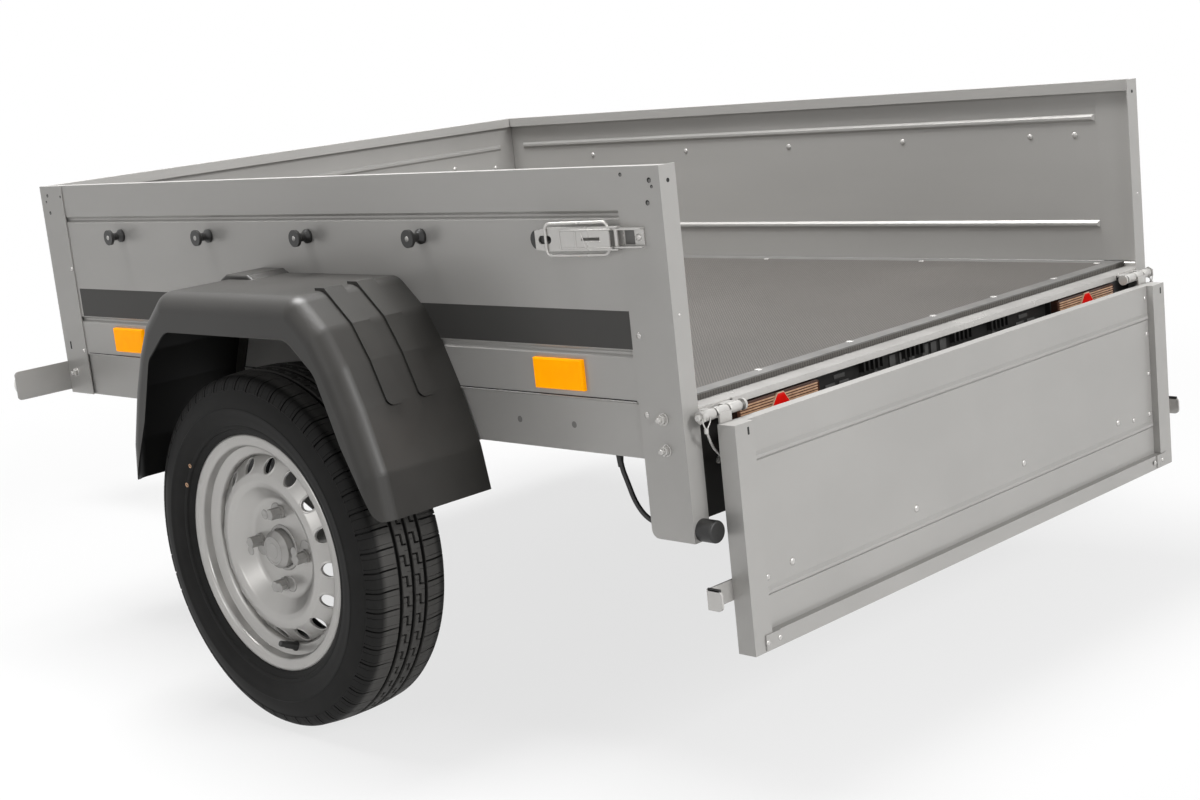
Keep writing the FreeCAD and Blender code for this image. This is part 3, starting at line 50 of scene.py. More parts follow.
# Main places, read from the frame
X_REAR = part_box("rear_post_left")[0].x
PANEL_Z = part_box("side_wall_left")[0].z
TYRE_LO, TYRE_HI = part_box("tyre_left")
TYRE_C = (TYRE_LO + TYRE_HI) / 2
TYRE_R = (TYRE_HI.z - TYRE_LO.z) / 2
TYRE_HALF = (TYRE_HI.y - TYRE_LO.y) / 2

# Faces of the box, in millimetres as place() takes them
POST_FACE_Y = 580.0
PANEL_FACE_Y = 578.0
PANEL_IN_Y = 576.5
FRONT_IN_X = 1536.5


def place(x, y, z):
    """Millimetres from the rear face, the middle and the walls' lower edge, in metres."""
    return Vector((X_REAR + x * MM, y * MM, PANEL_Z + z * MM))


def at_height(x, y, z):
    """A place with x and y in box millimetres and z in metres above the ground."""
    at = place(x, y, 0)
    at.z = z
    return at


# Camera, standing where the photo's did
CAMERA_PLACE = (-2.78625, 2.2585, 0.9829)
CAMERA_RIGHT = Vector((-0.70509904, -0.70131937, -0.10481645))
CAMERA_UP = Vector((0.06325672, -0.20943312, 0.97577475))
CAMERA_LENS = 56.18
SENSOR_W = 36.0
CLIP_END = 100.0


def make_camera():
    data = bpy.data.cameras.new("camera")
    data.lens = CAMERA_LENS
    data.sensor_width = SENSOR_W
    data.sensor_fit = "HORIZONTAL"
    data.clip_end = CLIP_END
    cam = bpy.data.objects.new("camera", data)
    bpy.context.scene.collection.objects.link(cam)
    back = CAMERA_RIGHT.cross(CAMERA_UP)
    turn = Matrix((CAMERA_RIGHT, CAMERA_UP, back)).transposed()
    cam.matrix_world = Matrix.Translation(CAMERA_PLACE) @ turn.to_4x4()
    bpy.context.scene.camera = cam


make_camera()
bpy.context.scene.view_settings.view_transform = "Standard"


# Material helpers
PATCH_DETAIL = 4.0
PATCH_EDGE_SHARES = (0.35, 0.65)
ROUGH_SPREAD = 0.06
GRAIN_DETAIL = 3.0
GRAIN_DEPTH = 0.0006
WARMTH = 0.022
COOLING = 1.6


def links(mat):
    nodes = mat.node_tree.nodes
    return nodes, mat.node_tree.links, nodes["Principled BSDF"]


def grey(v, warm=WARMTH):
    """A slightly warm grey, brighter in red and darker in blue."""
    return (v * (1 + warm), v, v * (1 - COOLING * warm))


def feed(link, node, **inputs):
    """Links or sets a node's inputs, named with underscores for spaces."""
    for name, value in inputs.items():
        socket = node.inputs[name.replace("_", " ")]
        if hasattr(value, "node"):
            link.new(value, socket)
        else:
            socket.default_value = value
    return node


def added(nodes, link, kind, **inputs):
    """A new shader node with its inputs fed."""
    return feed(link, nodes.new("ShaderNode" + kind), **inputs)


def grainy(
    name, dark, light, rough, metallic=0.0, scale=30.0, grain=400.0, bump=0.05, stretch=(1, 1, 1), **more
):
    """A surface whose colour and roughness vary in soft patches, with a fine grain in its bump."""
    mat = bpy.data.materials.new(name)
    mat.use_nodes = True
    nodes, link, bsdf = links(mat)
    coord = added(nodes, link, "TexCoord").outputs["Object"]
    at = added(nodes, link, "Mapping", Vector=coord, Scale=stretch).outputs["Vector"]
    patches = added(nodes, link, "TexNoise", Vector=at, Scale=scale, Detail=PATCH_DETAIL).outputs["Fac"]
    ramp = added(nodes, link, "ValToRGB", Fac=patches)
    for stop, position, colour in zip(ramp.color_ramp.elements, PATCH_EDGE_SHARES, (dark, light)):
        stop.position = position
        stop.color = (*colour, 1)
    low, high = rough - ROUGH_SPREAD, rough + ROUGH_SPREAD
    spread = added(nodes, link, "MapRange", Value=patches, To_Min=low, To_Max=high)
    fine = added(nodes, link, "TexNoise", Vector=at, Scale=grain, Detail=GRAIN_DETAIL).outputs["Fac"]
    relief = added(nodes, link, "Bump", Height=fine, Strength=bump, Distance=GRAIN_DEPTH)
    feed(link, bsdf, Base_Color=ramp.outputs["Color"], Roughness=spread.outputs["Result"])
    feed(link, bsdf, Metallic=metallic, Normal=relief.outputs["Normal"], **more)
    return mat


def math_node(nodes, link, operation, *values):
    """A math node fed by sockets or plain numbers."""
    node = nodes.new("ShaderNodeMath")
    node.operation = operation
    for socket, value in zip(node.inputs, values):
        if hasattr(value, "node"):
            link.new(value, socket)
        else:
            socket.default_value = value
    return node.outputs[0]


def tinted(mat, factor, colour):
    """Mixes a colour into the surface where the factor is 1."""
    nodes, link, bsdf = links(mat)
    mix = nodes.new("ShaderNodeMix")
    mix.data_type = "RGBA"
    under = bsdf.inputs["Base Color"].links[0].from_socket
    feed(link, mix, Factor=factor, A=under, B=(*colour, 1))
    feed(link, bsdf, Base_Color=mix.outputs["Result"])


def object_place(nodes, link):
    """Sockets for x, y and z in the object's own coordinates."""
    coord = added(nodes, link, "TexCoord").outputs["Object"]
    return added(nodes, link, "SeparateXYZ", Vector=coord).outputs


def masked(mat, low, high, colour):
    """Paints the box from low to high, in row coordinates with y taken as positive, in another colour."""
    nodes, link = links(mat)[:2]
    inside = 1.0
    for axis, source in enumerate(object_place(nodes, link)):
        if low[axis] is None:
            continue
        middle = (low[axis] + high[axis]) / 2
        half = abs(high[axis] - low[axis]) / 2
        if axis == 1:
            source = math_node(nodes, link, "ABSOLUTE", source)
        test = math_node(nodes, link, "COMPARE", source, middle, half)
        inside = math_node(nodes, link, "MULTIPLY", test, inside)
    tinted(mat, inside, colour)


def product_sum(nodes, link, a, b, c, d):
    """A socket for a times b plus c times d."""
    first = math_node(nodes, link, "MULTIPLY", a, b)
    second = math_node(nodes, link, "MULTIPLY", c, d)
    return math_node(nodes, link, "ADD", first, second)


def from_axle(nodes, link):
    """The same sockets, with x and z counted from the wheel's axis."""
    x, y, z = object_place(nodes, link)
    x = math_node(nodes, link, "SUBTRACT", x, TYRE_C.x)
    z = math_node(nodes, link, "SUBTRACT", z, TYRE_C.z)
    return x, y, z


# Materials
DULL_EDGE = dict(Specular_IOR_Level=0.2, Specular_Tint=(0.25, 0.25, 0.25, 1))
SHEET = dict(
    rough=0.36, metallic=0.35, scale=5.0, grain=700.0, bump=0.03, stretch=(0.4, 1, 1.4), **DULL_EDGE
)
# Painted light: the amber reflector is given a faint glow of its own, though it is no lamp
AMBER_PAINTED_GLOW = dict(Specular_IOR_Level=0.05, Emission_Color=(1.0, 0.36, 0.0, 1), Emission_Strength=0.4)
LENS = dict(grain=300.0, bump=0.02)
MATS = {
    "sheet": grainy("galvanised_sheet", grey(0.38), grey(0.40), **SHEET),
    "zinc": grainy(
        "bright_zinc_plate", grey(0.50), grey(0.54),
        rough=0.26, metallic=0.5, scale=14.0, grain=600.0, bump=0.03, **DULL_EDGE,
    ),
    "steel": grainy(
        "hot_dip_zinc", grey(0.34), grey(0.44),
        rough=0.44, metallic=0.4, scale=40.0, grain=300.0, bump=0.12,
    ),
    "paint": grainy(
        "silver_wheel_paint", grey(0.44), grey(0.46),
        rough=0.30, metallic=0.5, scale=12.0, grain=900.0, bump=0.02, **DULL_EDGE,
    ),
    "hub": grainy(
        "zinc_hub", grey(0.34), grey(0.39),
        rough=0.24, metallic=0.35, scale=25.0, grain=700.0, bump=0.05, **DULL_EDGE,
    ),
    "tyre": grainy(
        "tyre_rubber", grey(0.009), grey(0.013),
        rough=0.62, scale=25.0, grain=500.0, bump=0.12, Specular_IOR_Level=0.13,
    ),
    "rubber": grainy(
        "black_rubber", grey(0.010), grey(0.015), rough=0.45, scale=40.0, grain=600.0, bump=0.1
    ),
    "plastic": grainy(
        "black_plastic", grey(0.014), grey(0.020), rough=0.32, scale=18.0, grain=900.0, bump=0.1
    ),
    "guard": grainy(
        "mudguard_plastic", grey(0.026, 0.05), grey(0.032, 0.05),
        rough=0.42, scale=9.0, grain=1100.0, bump=0.12, Specular_IOR_Level=0.32,
    ),
    # Grey of the floor's trims, also used as painted shade on the latch brackets
    "trim": grainy("grey_trim", grey(0.10), grey(0.13), rough=0.5, metallic=0.2, scale=20.0, grain=600.0),
    # Painted shade: a near-black colour for discs, bars and strips that stand for the shade in holes, slots
    # and under a fold
    "dark": grainy("painted_gap_shade", grey(0.008), grey(0.012), rough=0.8, scale=20.0, **LENS),
    "red": grainy(
        "red_lens", (0.66, 0.006, 0.004), (0.76, 0.01, 0.006),
        rough=0.16, scale=20.0, Coat_Weight=0.3, **LENS,
    ),
    # Painted highlight: the lens ribs are a light tan, standing for light caught on the ribs of the dark
    # lens
    "tan": grainy(
        "lens_rib_painted_highlight", (0.42, 0.24, 0.14), (0.58, 0.36, 0.22),
        rough=0.22, scale=90.0, Coat_Weight=0.4, **LENS,
    ),
    "cream": grainy("lens_border", (0.50, 0.38, 0.26), (0.58, 0.46, 0.34), rough=0.3, scale=20.0, **LENS),
    "copper": grainy(
        "amber_red_lens", (0.05, 0.022, 0.014), (0.08, 0.032, 0.02),
        rough=0.2, scale=8.0, Coat_Weight=0.5, **LENS,
    ),
    "amber": grainy(
        "amber_reflector", (0.95, 0.34, 0.0), (0.95, 0.37, 0.0),
        rough=0.35, scale=60.0, grain=500.0, **AMBER_PAINTED_GLOW,
    ),
    # Painted light and shade: a grey for the lit floors of holes and for the shade in the skirt's holes
    "hole_light_and_shade": grainy("painted_hole_light_and_shade", grey(0.13), grey(0.17), rough=0.6, metallic=0.2, scale=20.0, **LENS),
    "pad": grainy("board_pad", grey(0.05), grey(0.065), rough=0.5, scale=20.0, grain=300.0),
    "clear": grainy("white_lens", grey(0.75), grey(0.85), rough=0.15, Coat_Weight=0.5),
    "mark": grainy("paint_mark", (0.55, 0.32, 0.18), (0.62, 0.38, 0.22), rough=0.5),
}

DUST_STARTS = 0.0036
DUST_FULL = 0.0026
DUST = grey(0.062, 0.03)
# Painted shade inside the mudguard: limits that pick the faces turned towards the wheel, and their
# near-black colour
GUARD_UNDER = -0.03
GUARD_BACK = -0.2
GUARD_PAINTED_SHADE = grey(0.004)


def dust_tread(mat):
    """The worn, dusty tops of the tread blocks."""
    nodes, link = links(mat)[:2]
    x, z = from_axle(nodes, link)[::2]
    r = math_node(nodes, link, "SQRT", product_sum(nodes, link, x, x, z, z))
    low, high = TYRE_R - DUST_STARTS, TYRE_R - DUST_FULL
    spread = added(nodes, link, "MapRange", Value=r, From_Min=low, From_Max=high)
    tinted(mat, spread.outputs["Result"], DUST)


def paint_shade_inside(mat):
    """Painted shade: the faces of the mudguard that turn towards the wheel are coloured near black."""
    nodes, link = links(mat)[:2]
    x, y, z = from_axle(nodes, link)
    normal = added(nodes, link, "NewGeometry").outputs["Normal"]
    turn = added(nodes, link, "SeparateXYZ", Vector=normal).outputs
    out = product_sum(nodes, link, x, turn[0], z, turn[2])
    under = math_node(nodes, link, "LESS_THAN", out, GUARD_UNDER)
    side = math_node(nodes, link, "MULTIPLY", y, turn[1])
    back = math_node(nodes, link, "LESS_THAN", side, GUARD_BACK)
    tinted(mat, math_node(nodes, link, "MAXIMUM", under, back), GUARD_PAINTED_SHADE)


dust_tread(MATS["tyre"])
paint_shade_inside(MATS["guard"])

MESH_ANGLE = math.radians(45)
MESH_SCALE = 86.0
MESH_RELIEF = 0.6
MESH_DEPTH = 0.0008
MESH_CONTRAST = 0.8
MESH_HOLLOW_SHADE = grey(0.036, 0.03)


def plywood():
    """Film-faced floor board with a pressed wire-mesh pattern, whose hollows are darkened with painted
    shade.
    """
    mat = grainy(
        "mesh_plywood", (0.088, 0.081, 0.074), (0.100, 0.092, 0.084),
        rough=0.55, scale=5.0, grain=500.0, Specular_IOR_Level=0.2,
    )
    nodes, link, bsdf = links(mat)
    coord = added(nodes, link, "TexCoord").outputs["Object"]
    heights = []
    for angle in (MESH_ANGLE, -MESH_ANGLE):
        at = added(nodes, link, "Mapping", Vector=coord, Rotation=(0, 0, angle)).outputs["Vector"]
        heights.append(added(nodes, link, "TexWave", Vector=at, Scale=MESH_SCALE).outputs["Fac"])
    crossing = math_node(nodes, link, "MULTIPLY_ADD", heights[0], 0.5, 0.5)
    low = math_node(nodes, link, "MINIMUM", crossing, heights[1])
    relief = added(nodes, link, "Bump", Height=low, Strength=MESH_RELIEF, Distance=MESH_DEPTH)
    feed(link, bsdf, Normal=relief.outputs["Normal"])
    # Painted shade: the lower the pattern, the darker the board
    painted_shade = math_node(nodes, link, "SUBTRACT", 1.0, low)
    tinted(mat, math_node(nodes, link, "MULTIPLY", painted_shade, MESH_CONTRAST), MESH_HOLLOW_SHADE)
    return mat


MATS["floor"] = plywood()
MATS["side"] = grainy("striped_side_sheet", grey(0.38), grey(0.40), **SHEET)

STRIPE_LOW = place(78, 577.6, 145)
STRIPE_HIGH = place(1458, 578.4, 195)
STRIPE = grey(0.075)
# Painted shade: the wheel paint turns near black inboard of a plane 21.5 mm out from the wheel's middle,
# across a 0.1 m band, where the inside of the wheel lies in shade
RIM_PAINT_Y = TYRE_C.y + 0.0215
RIM_SHADE_WIDTH = 0.1
RIM_PAINTED_SHADE = grey(0.008)

masked(MATS["paint"], (None, RIM_PAINT_Y - RIM_SHADE_WIDTH, None), (None, RIM_PAINT_Y, None), RIM_PAINTED_SHADE)
masked(MATS["side"], STRIPE_LOW, STRIPE_HIGH, STRIPE)

# Starts of node names by material; the longest start that fits a name counts
NODE_STARTS = {
    "tyre": ("tyre",),
    "rubber": ("jack_tyre", "buffers", "lamp_cable"),
    "paint": ("rim", "jack_rim"),
    "trim": ("floor_trims",),
    "floor": ("floor",),
    "guard": ("mudguard",),
    "plastic": ("light_board", "lamp_bodies", "knobs"),
    "copper": ("lamp_lenses",),
    "amber": ("side_reflectors",),
    "clear": ("front_lamps",),
    "zinc": ("latch", "hinges", "rear_sill", "gate_hooks", "coupling", "jack"),
    "side": ("side_wall",),
    "steel": ("axle_beam", "drawbar", "long_members", "cross_members", "swing_arm"),
    "hub": ("hub",),
}

# Starts of node names by the width of the round on their pressed or moulded edges, in millimetres
PRESSED = {
    0.4: ("hinges", "front_brackets", "latch"),
    0.5: ("side_wall", "front_wall"),
    0.6: ("rear_post", "front_post", "gate_", "rear_sill"),
    0.8: ("coupling", "drawbar"),
    0.9: ("mudguard",),
    1.6: ("side_reflectors",),
}
EDGE_STEPS = 2
EDGE_ANGLE = math.radians(50)


def dress_nodes():
    for name, node in NODES.items():
        fits = [(len(k), mat) for mat, starts in NODE_STARTS.items() for k in starts if name.startswith(k)]
        node.data.materials.clear()
        node.data.materials.append(MATS[max(fits)[1] if fits else "sheet"])


def soften_edges():
    """Small rounds on the folded sheet's edges, as a press and shears leave them."""
    for name, node in NODES.items():
        for width, starts in PRESSED.items():
            if not name.startswith(starts):
                continue
            edge = node.modifiers.new("edge", "BEVEL")
            edge.width = width * MM
            edge.segments = EDGE_STEPS
            edge.limit_method = "ANGLE"
            edge.angle_limit = EDGE_ANGLE


dress_nodes()
soften_edges()


# Mesh helpers
def piece(name, verts, faces, body, slot, mat, smooth_angle=None, replaces=()):
    mesh = bpy.data.meshes.new(name)
    mesh.from_pydata([tuple(v) for v in verts], [], faces)
    mesh.validate()
    return finish_piece(name, mesh, body, mat, smooth_angle, replaces)


def finish_piece(name, mesh, body, mat, smooth_angle=None, replaces=()):
    work = bmesh.new()
    work.from_mesh(mesh)
    bmesh.ops.recalc_face_normals(work, faces=work.faces)
    if smooth_angle is not None:
        limit = math.radians(smooth_angle)
        for face in work.faces:
            face.smooth = True
        for edge in work.edges:
            edge.smooth = len(edge.link_faces) == 2 and edge.calc_face_angle(0.0) < limit
    work.to_mesh(mesh)
    work.free()
    obj = bpy.data.objects.new(name, mesh)
    bpy.context.scene.collection.objects.link(obj)
    mesh.materials.clear()
    mesh.materials.append(MATS[mat])
    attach(obj, body)
    if replaces:
        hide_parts(*replaces)
    return obj


def joined(parts):
    """One list of points and faces from several."""
    verts, faces = [], []
    for v, f in parts:
        n = len(verts)
        verts += v
        faces += [[i + n for i in face] for face in f]
    return verts, faces


def basis(normal):
    """Two directions across a normal, and the normal."""
    w = Vector(normal).normalized()
    u = Vector((0, 0, 1)) if abs(w.z) < 0.9 else Vector((1, 0, 0))
    u = (u - w * u.dot(w)).normalized()
    return u, w.cross(u), w


def grid_faces(rings, rows, round_rings, round_rows):
    """Four-sided faces between rings of points, closing on themselves where told to."""
    faces = []
    for i in range(rings if round_rings else rings - 1):
        j = (i + 1) % rings
        for k in range(rows if round_rows else rows - 1):
            m = (k + 1) % rows
            faces.append([i * rows + k, i * rows + m, j * rows + m, j * rows + k])
    return faces


def spun(profile, centre, normal, count, closed=False):
    """Turns (radius, height) pairs about the normal through centre."""
    u, v, w = basis(normal)
    centre = Vector(centre)
    verts = []
    rows = len(profile)
    for i in range(count):
        a = 2 * math.pi * i / count
        out = u * math.cos(a) + v * math.sin(a)
        for r, h in profile:
            verts.append(centre + out * r + w * h)
    faces = grid_faces(count, rows, True, closed)
    if not closed:
        for k in (0, rows - 1):
            faces.append([i * rows + k for i in range(count)])
    return verts, faces


def tube_along(points, r, count=10):
    """A round tube along points."""
    points = [Vector(p) for p in points]
    n = len(points)
    verts = []
    side = None
    for i, p in enumerate(points):
        ahead = points[min(i + 1, n - 1)] - points[max(i - 1, 0)]
        ahead.normalize()
        if side is None:
            side = basis(ahead)[0]
        side = (side - ahead * side.dot(ahead)).normalized()
        up = ahead.cross(side)
        for k in range(count):
            a = 2 * math.pi * k / count
            verts.append(p + side * (r * math.cos(a)) + up * (r * math.sin(a)))
    faces = grid_faces(n, count, False, True)
    faces.append(list(range(count)))
    faces.append([(n - 1) * count + k for k in range(count)])
    return verts, faces


def rounded_corner(before, corner, after, r, steps):
    """Points of the arc of radius r that rounds a corner."""
    a = (before - corner).normalized()
    b = (after - corner).normalized()
    half = a.angle(b) / 2
    reach = r / math.tan(half)
    centre = corner + (a + b).normalized() * (r / math.sin(half))
    first = corner + a * reach - centre
    last = corner + b * reach - centre
    return [centre + first.slerp(last, i / steps) * r for i in range(steps + 1)]


def bent(points, r, steps):
    """A polyline with its corners rounded to radius r."""
    points = [Vector(p) for p in points]
    line = [points[0]]
    for before, corner, after in zip(points, points[1:], points[2:]):
        line += rounded_corner(before, corner, after, r, steps)
    line.append(points[-1])
    return line


DOME_SHARES = ((1, 0), (0.98, 0.3), (0.85, 0.66), (0.55, 0.92), (0.2, 1))
BLOCK_ROUND_SHARE = 0.6


def dome(place_at, normal, r, h, count=16):
    """A rivet or screw head."""
    return spun([(r * out, h * up) for out, up in DOME_SHARES], place_at, normal, count)


def plate_block(low, high, bevel):
    """A block with rounded edges."""
    work = bmesh.new()
    bmesh.ops.create_cube(work, size=1.0)
    low, high = Vector(low), Vector(high)
    for v in work.verts:
        v.co = Vector([(low[i] + high[i]) / 2 + v.co[i] * (high[i] - low[i]) for i in range(3)])
    edges = list(work.edges)
    bmesh.ops.bevel(work, geom=edges, offset=bevel, segments=2, profile=BLOCK_ROUND_SHARE, affect="EDGES")
    verts = [v.co.copy() for v in work.verts]
    work.verts.index_update()
    faces = [[v.index for v in f.verts] for f in work.faces]
    work.free()
    return verts, faces


def mirrored(part):
    verts, faces = part
    return [Vector((v.x, -v.y, v.z)) for v in verts], [f[::-1] for f in faces]


def both_sides(name, parts, body="chassis", slot="bright_zinc", mat="zinc", smooth_angle=40):
    """The parts on the left, and their mirror image on the right, as one piece."""
    left = joined(parts)
    verts, faces = joined([left, mirrored(left)])
    return piece(name, verts, faces, body, slot, mat, smooth_angle)


# Lamp cable, on the route that the part's drawing gives
CABLE_POINTS = (
    (156.0, 545.0, 0.0),
    (156.0, 545.0, -22.0),
    (146.0, 545.0, -46.0),
    (137.0, 544.0, -72.0),
    (121.0, 542.5, -92.0),
    (99.0, 540.0, -101.0),
    (75.0, 535.5, -96.0),
    (52.0, 531.0, -80.0),
    (28.0, 531.0, -80.0),
)
CABLE_D = 0.007


def make_cable():
    curve = bpy.data.curves.new("lamp_lead", "CURVE")
    curve.dimensions = "3D"
    spline = curve.splines.new("NURBS")
    spline.points.add(len(CABLE_POINTS) - 1)
    for point, at in zip(spline.points, CABLE_POINTS):
        point.co = (*place(*at), 1)
    spline.order_u = 3
    spline.use_endpoint_u = True
    curve.resolution_u = 12
    curve.bevel_depth = CABLE_D / 2
    curve.bevel_resolution = 6
    curve.use_fill_caps = True
    lead = bpy.data.objects.new("lamp_lead", curve)
    bpy.context.scene.collection.objects.link(lead)
    curve.materials.append(MATS["rubber"])
    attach(lead, "chassis")
    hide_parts("lamp_cable")


make_cable()


# Tyres: 56 equal pitches, each cut by two slots and two fine sipes
PITCHES = 56
PITCH_STEP_SHARES = (
    0.0, 0.012, 0.080, 0.092, 0.250, 0.258, 0.270, 0.278,
    0.488, 0.500, 0.568, 0.580, 0.740, 0.748, 0.760, 0.768,
)
FIRST_SLOT = (1, 2)
FIRST_SIPE = (5, 6)
SECOND_SLOT = (9, 10)
SECOND_SIPE = (13, 14)
SLOT_DEEP = 0.0052
SIPE_DEEP = 0.0012
LUG_DEPTH_SHARE = 0.5
TREAD_SKEW_SHARE = 0.10
TREAD_CURL_SHARE = 0.9
FLANK, LUG, SHOULDER, HALF_A, HALF_B, MIDDLE, GROOVE = range(7)

# Points of a flank: rise from the bead, inset from the widest part, zone
BEAD_R = 0.1825
FLANK_LINE = (
    (-0.0030, 0.0210, FLANK),
    (0.0020, 0.0155, FLANK),
    (0.0060, 0.0125, FLANK),
    (0.0090, 0.0115, FLANK),
    (0.0105, 0.0085, FLANK),
    (0.0135, 0.0075, FLANK),
    (0.0160, 0.0078, FLANK),
    (0.0220, 0.0045, FLANK),
    (0.0300, 0.0014, FLANK),
    (0.0385, 0.0006, FLANK),
    (0.0395, 0.0000, FLANK),
    (0.0425, 0.0000, FLANK),
    (0.0435, 0.0010, FLANK),
    (0.0530, 0.0022, FLANK),
    (0.0620, 0.0048, FLANK),
    (0.0685, 0.0076, FLANK),
    (0.0700, 0.0072, LUG),
    (0.0745, 0.0092, LUG),
    (0.0795, 0.0118, LUG),
    (0.0842, 0.0158, LUG),
    (0.0872, 0.0205, LUG),
)
TREAD_EDGE = TYRE_HALF - 0.0205
GROOVE_SHARES = (-0.40, 0.0, 0.40)
GROOVE_HALF_W = 0.0034
GROOVE_DEEP = 0.0068
GROOVE_EDGE = 0.0008
GROOVE_EDGE_DROP = 0.0006
SLOT_WALL_OUT = 0.0021
SLOT_WALL_IN = 0.0013
SHOULDER_SHARES = (0.25, 0.5, 0.75)
CROWN_DROP = 0.0042
CROWN_POWER = 2.4


def tread_rib(y0, y1, is_first, is_last):
    """(drop, y, zone) across one rib of the tread, from the groove before it to the groove after."""
    rib = []
    middle = (y0 + y1) / 2
    if not is_first:
        rib += [(-GROOVE_DEEP, y0 - GROOVE_EDGE, GROOVE), (-GROOVE_EDGE_DROP, y0, GROOVE)]
        rib.append((0.0, y0 + GROOVE_EDGE, SHOULDER if is_last else HALF_A))
    if is_first or is_last:
        rib += [(0.0, y0 + (y1 - y0) * share, SHOULDER) for share in SHOULDER_SHARES]
    else:
        rib += [(0.0, middle - SLOT_WALL_OUT, HALF_A), (0.0, middle - SLOT_WALL_IN, MIDDLE)]
        rib += [(0.0, middle + SLOT_WALL_IN, MIDDLE), (0.0, middle + SLOT_WALL_OUT, HALF_B)]
    if not is_last:
        rib.append((0.0, y1 - GROOVE_EDGE, SHOULDER if is_first else HALF_B))
        rib += [(-GROOVE_EDGE_DROP, y1, GROOVE), (-GROOVE_DEEP, y1 + GROOVE_EDGE, GROOVE)]
    return rib


def tyre_section():
    """(radius, y, zone) up one flank, over the tread and down the other, in metres."""
    flank = [(BEAD_R + rise, TYRE_HALF - inset, zone) for rise, inset, zone in FLANK_LINE]
    walls = [-TREAD_EDGE] + [share * TREAD_EDGE for share in GROOVE_SHARES] + [TREAD_EDGE]
    last = len(GROOVE_SHARES)
    line = [(r, -y, zone) for r, y, zone in flank]
    for i, (a, b) in enumerate(zip(walls, walls[1:])):
        y0 = a + (GROOVE_HALF_W if i > 0 else 0)
        y1 = b - (GROOVE_HALF_W if i < last else 0)
        for dr, y, zone in tread_rib(y0, y1, i == 0, i == last):
            drop = CROWN_DROP * (abs(y) / TREAD_EDGE) ** CROWN_POWER
            line.append((TYRE_R - drop + dr, y, zone))
    return line + flank[::-1]


def cut_depth(zone, step):
    """How far a tread point is let in at this step of the pitch."""
    if zone == MIDDLE:
        return SLOT_DEEP if FIRST_SLOT[0] <= step <= SECOND_SLOT[1] else 0.0
    if zone in (SHOULDER, HALF_A, LUG) and step in FIRST_SLOT:
        return SLOT_DEEP
    if zone == HALF_B and step in SECOND_SLOT:
        return SLOT_DEEP
    if zone in (SHOULDER, HALF_A, LUG) and step in SECOND_SIPE:
        return SIPE_DEEP
    if zone in (SHOULDER, HALF_B, LUG) and step in FIRST_SIPE:
        return SIPE_DEEP
    return 0.0


def wheel_centre(sign):
    return Vector((TYRE_C.x, sign * TYRE_C.y, TYRE_C.z))


def around(a, r, y):
    """A place from the wheel's centre, at angle a from the top."""
    return Vector((r * math.sin(a), y, r * math.cos(a)))


def make_tyre(side, sign):
    section = tyre_section()
    verts = []
    centre = wheel_centre(sign)
    for p in range(PITCHES):
        for s, share in enumerate(PITCH_STEP_SHARES):
            for r, y, zone in section:
                skew = 0.0
                if zone != FLANK:
                    across = max(-TREAD_EDGE, min(TREAD_EDGE, y)) / TYRE_HALF
                    skew = TREAD_SKEW_SHARE * math.sin(across * math.pi * TREAD_CURL_SHARE)
                deep = cut_depth(zone, s)
                if zone == LUG:
                    deep *= LUG_DEPTH_SHARE
                    y -= math.copysign(deep, y)
                a = 2 * math.pi * (p + share + skew) / PITCHES
                at = centre + around(a, r - deep, sign * y)
                at.z = max(at.z, 0.0)
                verts.append(at)
    faces = grid_faces(PITCHES * len(PITCH_STEP_SHARES), len(section), True, False)
    piece("tyre_tread_" + side, verts, faces, "wheel_" + side, "tyre", "tyre", 32, ("tyre_" + side,))


# Two paint rings on the left tyre's flank: x, z and radius in millimetres
TYRE_MARKS = ((886.8, -67.8, 3.6), (869.9, -36.0, 3.2))
TYRE_MARK_Y = 765.2
MARK_RISE = 0.0002
MARK_ROOT = -0.0006
MARK_HOLE_SHARE = 0.6


def make_tyre_marks():
    parts = []
    for x, z, r in TYRE_MARKS:
        out = r * MM
        hole = out * MARK_HOLE_SHARE
        ring = [(out, MARK_ROOT), (out, MARK_RISE), (hole, MARK_RISE), (hole, MARK_ROOT)]
        parts.append(spun(ring, place(x, TYRE_MARK_Y, z), OUT_LEFT, 24, True))
    piece("tyre_marks_left", *joined(parts), "wheel_left", "tyre", "mark", 30)


def arc_line(points, steps):
    """Rounds a (radius, y, corner radius) line of points."""
    flat = [Vector((r, y, 0)) for r, y, bend in points]
    line = [flat[0]]
    for i in range(1, len(points) - 1):
        bend = points[i][2]
        if bend:
            line += rounded_corner(flat[i - 1], flat[i], flat[i + 1], bend, steps)
        else:
            line.append(flat[i])
    line.append(flat[-1])
    return [(p.x, p.y) for p in line]


def thick(line, t):
    """A closed outline: the line, and its copy t to the left on the way back."""
    points = [Vector((r, y, 0)) for r, y in line]
    copy = []
    for i, p in enumerate(points):
        a = points[max(i - 1, 0)]
        b = points[min(i + 1, len(points) - 1)]
        ahead = (b - a).normalized()
        copy.append(p + Vector((-ahead.y, ahead.x, 0)) * t)
    return line + [(q.x, q.y) for q in copy[::-1]]


def cut_holes(verts, faces, cutter):
    """The mesh with the cutter taken away, as a new mesh."""
    meshes = []
    for n, (v, f) in enumerate(((verts, faces), cutter)):
        mesh = bpy.data.meshes.new("cut_%d" % n)
        mesh.from_pydata([tuple(p) for p in v], [], f)
        work = bmesh.new()
        work.from_mesh(mesh)
        bmesh.ops.recalc_face_normals(work, faces=work.faces)
        work.to_mesh(mesh)
        work.free()
        obj = bpy.data.objects.new("cut_%d" % n, mesh)
        bpy.context.scene.collection.objects.link(obj)
        meshes.append(obj)
    body, tool = meshes
    mod = body.modifiers.new("cut", "BOOLEAN")
    mod.operation = "DIFFERENCE"
    mod.solver = "EXACT"
    mod.object = tool
    view = bpy.context.evaluated_depsgraph_get()
    view.update()
    result = bpy.data.meshes.new_from_object(body.evaluated_get(view))
    for obj in meshes:
        bpy.data.objects.remove(obj)
    return result


